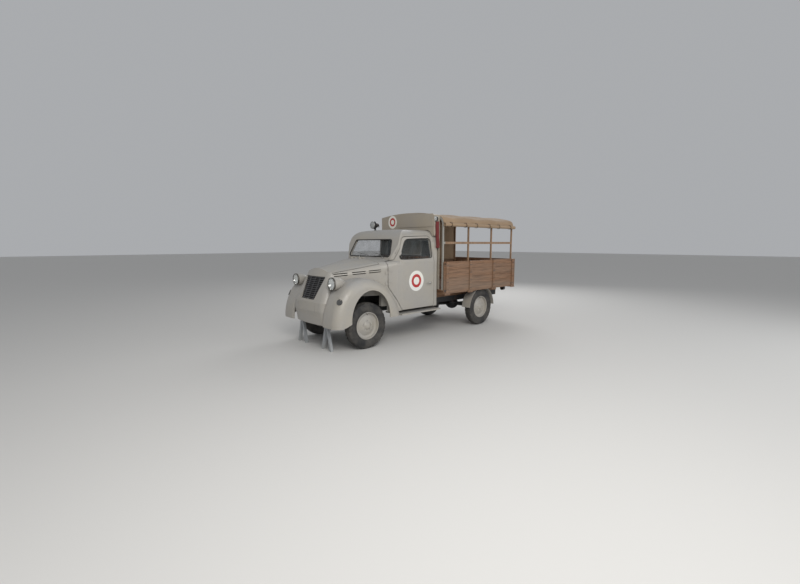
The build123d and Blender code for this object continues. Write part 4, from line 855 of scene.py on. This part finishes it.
# %% Bolts and corner irons
bed_rear = -2.136
battens = (-0.060, -0.700, rear_axle - 0.280, bed_rear + 0.060)
board_rows = [0.690 + 0.1375 * (k + 0.5) for k in range(4)]
iron_long, iron_tall, iron_thick, iron_nose = 0.105, 0.042, 0.003, 0.02
iron_edge = [(0, -iron_tall / 2), (iron_long - iron_nose, -iron_tall / 2), (iron_long, -iron_tall / 5),
             (iron_long, iron_tall / 5), (iron_long - iron_nose, iron_tall / 2), (0, iron_tall / 2)]
iron_faces = [tuple(range(6)), tuple(range(11, 5, -1))] + net(2, 6, columns_meet=True)
for word, out in both_sides:
    body = "dropside_" + word
    inner, outer = out * 0.7985, out * (0.7985 + iron_thick)
    spots = [(x + dx, out * 0.8182, z) for x in battens for z in board_rows for dx in (-0.016, 0.016)]
    bolts("batten_bolts_" + word, spots, (0, out, 0), 0.0050, iron_grey, body)
    for end, x, way in (("front", -0.0005, -1), ("rear", -2.1345, 1)):
        for level, z in (("high", 1.205), ("low", 0.745)):
            corner = f"{word}_{end}_{level}"
            ring = [(x + way * a - way * 0.001, y, z + b) for y in (inner, outer) for a, b in iron_edge]
            plate = piece("corner_iron_" + corner, ring, iron_faces, iron_grey, body, smooth=False)
            sharpen(plate, 20)
            studs = [(x + way * a, outer, z) for a in (0.028, 0.078)]
            bolts("corner_bolts_" + corner, studs, (0, out, 0), 0.0042, iron_grey, body)
tail_spots = [(y + dy, z) for y in (-0.620, 0.0, 0.620) for z in board_rows for dy in (-0.016, 0.016)]
bolts("tailgate_bolts", [(-2.1995, y, z) for y, z in tail_spots], backward, 0.0050, iron_grey, "tailgate")
print("bolts through the boards:", 2 * len(spots) + len(tail_spots))

# %% [markdown]
# Each door has a turning handle near its back edge, and the windscreen has two wipers that rest
# on the lower rubber. The handle is a bent rod of oval section.

# %% Handles and wipers
rose_line = [(-0.001, 0.0210), (0.004, 0.0200), (0.007, 0.0150), (0.008, 0.0002)]
rod_line = [(0, 0.004, 0), (0, 0.020, 0), (0.004, 0.031, 0), (0.016, 0.036, 0), (0.050, 0.037, 0.001),
            (0.088, 0.036, 0.002), (0.112, 0.033, 0.002)]
for word, out in both_sides:
    door = "door_" + word
    spot = onto(door, (axle - 1.312, out * 1.2, 0.895), (0, -out, 0))
    spun("handle_rose_" + word, rose_line, spot, (0, out, 0), nickel, door, steps=24)
    rod = from_spot(spot, *[(x, out * y, z) for x, y, z in rod_line])
    bead("handle_" + word, rod, 0.0068, nickel, door, flat=0.8)
boss_line = [(-0.004, 0.013), (0.010, 0.012), (0.016, 0.008), (0.017, 0.0002)]
for word, y in (("left", 0.400), ("right", -0.060)):
    foot = onto("cab_shell", (axle, y, 1.322), backward)
    middle = onto("cab_glass", (axle, y - 0.13, 1.375), backward, 0.014)
    spun("wiper_boss_" + word, boss_line, foot, (0.75, 0, 0.66), nickel, steps=20)
    arm = [foot + Vector((0.014, 0, 0.010)), foot.lerp(middle, 0.55) + Vector((0.012, 0, 0.012)), middle]
    bead("wiper_arm_" + word, arm, 0.0030, nickel, sides=8)
    blade = [onto("cab_glass", (axle, y - 0.13 + s, 1.375 - s * 0.12), backward, 0.006)
             for s in (-0.15, -0.08, 0.0, 0.08, 0.15)]
    bead("wiper_blade_" + word, blade, 0.0045, soft_rubber, flat=0.6, sides=8)
print("handles: 2, wipers: 2")

# %% [markdown]
# White discs with a plain red ring mark the doors and the raised panel. They are painted on, so
# each is a skin about half a millimetre off the panel, draped on it by rays, and the ring lies
# as much again above its disc.

# %% Painted discs
white_mark = painted("mark_white", (0.74, 0.74, 0.71), 0.4, 0.10, 0.0003)
red_mark = painted("mark_red", (0.42, 0.030, 0.028), 0.4, 0.10, 0.0003)


def painted_disc(name, node, centre, way, across, inner, outer, lift, material, body):
    points, rings, steps = [], 10, 64
    for ring in range(rings + 1):
        r = inner + (outer - inner) * ring / rings
        for turn in circle(steps):
            start = Vector(centre) + Vector(across) * r * math.cos(turn) + Vector(upward) * r * math.sin(turn)
            points.append(onto(node, start, way, lift))
    return piece(name, points, net(rings + 1, steps, columns_meet=True), material, body)


marks = [("door_left", (axle - 0.99, 1.2, 0.95), (0, -1, 0), forward, 0.165),
         ("door_right", (axle - 0.99, -1.2, 0.95), (0, 1, 0), forward, 0.165),
         ("front_wall", (1.0, -0.37, 1.94), backward, (0, 1, 0), 0.1175)]
for node, centre, way, across, size in marks:
    body = "truck" if node == "front_wall" else node
    painted_disc("white_disc_" + node, node, centre, way, across, 0.002, size, 0.0006, white_mark, body)
    painted_disc("red_ring_" + node, node, centre, way, across, size * 0.38, size * 0.66, 0.0012,
                 red_mark, body)
print("painted discs:", len(marks))

# %% [markdown]
# A dark lamp stands at the left end of the raised panel, a small bullet with a curved glass on
# a short arm.

# %% Side lamp
panel_x = axle - 1.415
side_lamp = Vector((panel_x - 0.035, 0.690, 1.962))
side_lamp_line = [(-0.030, 0.002), (-0.029, 0.020), (-0.020, 0.034), (0.000, 0.041), (0.014, 0.043),
                  (0.018, 0.0445), (0.022, 0.043)]
side_glass_line = [(0.020, 0.0425), (0.027, 0.032), (0.031, 0.016), (0.032, 0.0003)]
spun("side_lamp_shell", side_lamp_line, side_lamp, forward, enamel)
spun("side_lamp_glass", side_glass_line, side_lamp, forward, lens.material)
arm = from_spot(side_lamp, (-0.010, -0.030, -0.010), (-0.015, -0.050, -0.014), (-0.015, -0.046, -0.060))
bead("side_lamp_arm", arm, 0.008, enamel, sides=8)
print("side lamp at", [round(c, 2) for c in side_lamp])

# %% [markdown]
# Beside it hangs a strap of red webbing from a hook. It is a flat sheet, two points wide, that
# curls and sways a little as it hangs.

# %% Webbing strap
webbing = canvas("red_webbing", (0.155, 0.026, 0.026), 2400.0)
strap_points, strap_steps, strap_half = [], 44, 0.030
for k in range(strap_steps + 1):
    s = k / strap_steps
    sway = 0.010 * math.sin(s * 5.0) + 0.004 * math.sin(s * 13.0)
    turn = 0.55 + 0.30 * math.sin(s * 3.1)
    for side in (-1, 1):
        x = panel_x - 0.058 - side * strap_half * math.cos(turn) + sway
        y = 0.708 + side * strap_half * math.sin(turn) + 0.2 * sway
        strap_points.append((x, y, 1.915 - 0.440 * s))
strap = piece("red_strap", strap_points, net(strap_steps + 1, 2), webbing)
weave = strap.modifiers.new("weave", "SOLIDIFY")
weave.thickness = 0.0022
hook = [(panel_x - 0.062, y, z) for y, z in ((0.676, 1.930), (0.700, 1.932), (0.712, 1.922), (0.704, 1.912))]
bead("red_strap_hook", hook, 0.004, iron_grey, sides=8)
print("strap:", len(strap.data.polygons), "faces")

# %% [markdown]
# The spot lamp on the roof is in the drawing. It still needs its rim, its glass and a grip.

# %% Spot lamp
spot_at = Vector((axle - 1.080, -0.470, 1.880))
spot_rim_line = [(0.056, 0.0650), (0.062, 0.0662), (0.068, 0.0640), (0.069, 0.0600)]
spot_glass_line = [(0.0655, 0.0610), (0.071, 0.045), (0.0745, 0.022), (0.0755, 0.0003)]
spun("spot_rim", spot_rim_line, spot_at, forward, nickel)
spun("spot_glass", spot_glass_line, spot_at, forward, lens.material)
grip = from_spot(spot_at, (-0.066, 0, 0.018), (-0.082, 0, 0.020), (-0.090, 0, 0.000), (-0.088, 0, -0.040))
bead("spot_handle", grip, 0.006, enamel, sides=8)
print("spot lamp at", [round(c, 2) for c in spot_at])

# %% [markdown]
# Two dials sit in the dashboard. Each is a yellowed face with a metal ring and a small hand.

# %% Dials
dial_face = Finish("dial_face", (0.68, 0.66, 0.58), 0.5)
yellowed = dial_face.noise(60.0).map(0.4, 0.7, 0.0, 0.4)
dial_face.set(Base_Color=dial_face.mix(yellowed, (0.68, 0.66, 0.58, 1), (0.50, 0.46, 0.36, 1)))
dial_line, dial_way = [(0.0005, 0.0002), (0.0010, 0.0380)], (-1, 0, 0.05)
dial_ring_line = [(0.000, 0.0400), (0.009, 0.0405), (0.010, 0.0370), (0.002, 0.0365)]
for k, y in enumerate((0.250, 0.390)):
    at = onto("dashboard", (axle - 1.2, y, 1.215), forward)
    spun(f"dial_{k}", dial_line, at, dial_way, dial_face.material, steps=32)
    spun(f"dial_ring_{k}", dial_ring_line, at, dial_way, nickel, steps=32)
    hand = from_spot(at, (-0.004, 0, -0.002), (-0.004, 0.018 - 0.030 * k, 0.022))
    bead(f"dial_hand_{k}", hand, 0.0012, enamel, sides=6)
print("dials: 2")

# %% [markdown]
# The levers come up through the floor: a gear lever with a knob, and a hand brake. In front of
# them stand three pedals with rubber pads.

# %% Levers and pedals
lever_line = ((0.700, 0.618), (0.705, 0.700), (0.760, 0.860), (0.800, 0.985))
lever = [(axle - behind, 0.0, up) for behind, up in lever_line]
knob_line = [(-0.016, 0.008), (-0.010, 0.018), (0.004, 0.022), (0.016, 0.016), (0.021, 0.0003)]
bead("gear_lever", lever, 0.0075, enamel)
spun("gear_knob", knob_line, lever[-1], (-0.3, 0, 1), bakelite, steps=24)
brake = [(axle - behind, -0.090, up) for behind, up in ((0.680, 0.618), (0.700, 0.720), (0.770, 0.840))]
bead("hand_brake", brake, 0.0090, enamel)
for k, (y, up) in enumerate(((0.400, 0.735), (0.300, 0.735), (0.215, 0.700))):
    top = Vector((axle - 0.560, y, up))
    bead(f"pedal_arm_{k}", [(axle - 0.545, y, 0.640), (axle - 0.575, y, 0.690), top], 0.0060, enamel, sides=8)
    pad = from_spot(top, (0.003, -0.024, 0.002), (0.003, 0.024, 0.002))
    bead(f"pedal_pad_{k}", pad, 0.020, soft_rubber, flat=0.3, wide=(0.5, 0, 0.86))
print("levers: 2, pedals: 3")

# %% [markdown]
# The tail lamps get red glasses, dimpled by a cell pattern, and rims. On the front of each wing
# a dark plug closes the round seat of a side lamp.

# %% Tail lamps and wing plugs
red_glass = Finish("red_glass", (0.30, 0.012, 0.010), 0.12)
red_glass.set(Coat_Weight=0.6, Roughness=red_glass.noise(18.0).map(0.3, 0.7, 0.08, 0.22))
red_glass.bump(red_glass.cells(170.0), 0.0012)
tail_glass_line = [(0.000, 0.0390), (0.009, 0.0370), (0.014, 0.0260), (0.016, 0.0003)]
tail_rim_line = [(-0.002, 0.0420), (0.004, 0.0425), (0.006, 0.0400), (0.004, 0.0385)]
for word, out in both_sides:
    at = Vector((-2.1460, 0.560 * out, 0.620))
    spun("tail_glass_" + word, tail_glass_line, at, backward, red_glass.material)
    spun("tail_rim_" + word, tail_rim_line, at, backward, nickel)
plug_line = [(-0.016, 0.0420), (-0.002, 0.0430), (0.0035, 0.0405), (0.0045, 0.0370), (0.0025, 0.0330),
             (0.0040, 0.0180), (0.0045, 0.0003)]
for word, out in both_sides:
    seat_at = Vector((axle + 0.5165, 0.7305 * out, 0.751))
    spun("wing_plug_" + word, plug_line, seat_at, (0.789, 0.471 * out, 0.395), iron_grey, steps=40)
print("tail lamps: 2, wing plugs: 2")

# %% [markdown]
# Through the glass one sees a lined cab, not bare steel: a dark headlining, a lined back wall
# and hardboard door cards. Their near-black colour is partly the linings' own and partly painted
# shade, the shade that fills the inside of the cab. Each is a skin draped on the inside of the
# shell by rays, a little off the steel, with its own weave.

# %% Linings
# Near black: partly dark lining, partly painted shade of the cab's inside.
lining_and_shade = canvas("cab_lining_and_shade", (0.034, 0.029, 0.025), 1500.0)


def draped(name, node, spots, way, columns, body="truck"):
    """A skin through a grid of ray hits; spots lists the starting points row by row."""
    points = [onto(node, spot, way, 0.004) for spot in spots]
    skin = piece(name, points, net(len(points) // columns, columns), lining_and_shade, body)
    wall = skin.modifiers.new("board", "SOLIDIFY")
    wall.thickness, wall.offset = 0.0025, 0.0


spots = [(axle - 0.745 - 0.68 * r / 16, -0.52 + 1.04 * c / 24, 1.45) for r in range(17) for c in range(25)]
draped("headlining", "cab_shell", spots, upward, 25)
for name, low, high, y0, y1 in (("low", 0.640, 1.340, -0.600, 0.600), ("left", 1.340, 1.600, 0.345, 0.560),
                                ("right", 1.340, 1.600, -0.560, -0.345)):
    spots = [(axle - 1.300, y0 + (y1 - y0) * c / 12, low + (high - low) * r / 12)
             for r in range(13) for c in range(13)]
    draped("back_lining_" + name, "cab_shell", spots, backward, 13)
for word, out in both_sides:
    door = "door_" + word
    spots = [(axle - 0.740 - 0.600 * c / 14, out * 0.45, 0.600 + 0.640 * r / 14)
             for r in range(15) for c in range(15)]
    draped("door_card_" + word, door, spots, (0, out, 0), 15, door)
    pull = [onto(door, (axle - x, out * 0.45, 1.255), (0, out, 0), lift)
            for x, lift in ((0.95, 0.004), (0.97, 0.030), (1.15, 0.030), (1.17, 0.004))]
    bead("door_pull_" + word, pull, 0.009, bakelite, door)
print("linings: 6 skins")

# %% [markdown]
# Behind the slats hangs a fine wire screen that keeps insects off the radiator. Its colour is
# near black, so it also paints the shade inside the nose and makes the grille read dark. It is
# a bowed skin with a mesh of bumps.

# %% Wire screen behind the grille, near black for painted shade
# Near-black screen colour: painted shade inside the grille, with some dust.
wire = Finish("grille_shade_screen", (0.010, 0.010, 0.010), 0.6, 0.3)
wire_place = wire.place()
up_down = (wire_place[2] * 1600.0).sine()
across = (wire_place[1] * 1600.0).sine()
dusty = wire.noise(14.0, 4.0).map(0.4, 0.7, 0.0, 0.6)
wire.set(Base_Color=wire.mix(dusty, (0.010, 0.010, 0.010, 1), (0.035, 0.032, 0.028, 1)))
wire.bump(up_down * across, 0.0006)
screen_points, rows, columns = [], 13, 17
for r in range(rows):
    share = r / (rows - 1)
    z = 0.741 + 0.318 * share
    half = 0.187 + 0.070 * share
    tip = axle + 0.600 - 0.448 * (z - 0.735) - 0.030
    for c in range(columns):
        y = half * (c / 8 - 1)
        screen_points.append((tip - 0.022 * (y / 0.262) ** 2, y, z))
shade_gauze = piece("grille_shade_screen", screen_points, net(rows, columns), wire.material)
print("wire screen:", len(shade_gauze.data.polygons), "faces")

# %% [markdown]
# The portrait is taken with a wide lens from the front left, a little above the bonnet. The
# lens is given by two lengths in pixels of the photograph: its focal length and the width.

# %% Camera
camera = bpy.data.objects.new("camera", bpy.data.cameras.new("camera"))
bpy.context.scene.collection.objects.link(camera)
bpy.context.scene.camera = camera
camera.location = (5.05, 5.24, 1.55)
aim = Vector((-0.667, -0.735, -0.122))
camera.rotation_euler = aim.to_track_quat("-Z", "Y").to_euler()
photo_width, focal_length = 800, 395
camera.data.sensor_width, camera.data.lens = 36.0, 36.0 * focal_length / photo_width
print("camera at", [round(c, 2) for c in camera.location], "lens", round(camera.data.lens, 2))

# %% [markdown]
# The room is a plain pale floor with soft light from large lamps, so the colours stay as
# painted.

# %% Floor and light
far = 60
mesh = bpy.data.meshes.new("floor")
mesh.from_pydata([(-far, -far, 0), (far, -far, 0), (far, far, 0), (-far, far, 0)], [], [(0, 1, 2, 3)])
floor = bpy.data.objects.new("floor", mesh)
bpy.context.scene.collection.objects.link(floor)
pale = Finish("floor_pale", (0.62, 0.61, 0.59), 0.85)
floor.data.materials.append(pale.material)


def lamp(name, spot, target, width, watts, tint=(1, 1, 1)):
    light = bpy.data.lights.new(name, "AREA")
    light.shape, light.size, light.energy, light.color = "SQUARE", width, watts, tint
    thing = bpy.data.objects.new(name, light)
    bpy.context.scene.collection.objects.link(thing)
    thing.location = spot
    thing.rotation_euler = (Vector(target) - Vector(spot)).to_track_quat("-Z", "Y").to_euler()


lamp("key", (4.5, 6.0, 4.6), (0, 0, 0.9), 4.0, 320, (1.0, 0.985, 0.96))
lamp("fill", (-3.0, 8.0, 3.0), (-0.5, 0, 1.0), 5.0, 130, (0.95, 0.975, 1.0))
lamp("back", (-6.0, -3.0, 5.0), (-0.5, 0, 1.2), 4.0, 200)
world = bpy.context.scene.world or bpy.data.worlds.new("world")
bpy.context.scene.world = world
world.use_nodes = True
world.node_tree.nodes["Background"].inputs[0].default_value = (0.80, 0.82, 0.85, 1)
world.node_tree.nodes["Background"].inputs[1].default_value = 0.50
bpy.context.scene.view_settings.view_transform = "Standard"
print("lamps: 3")
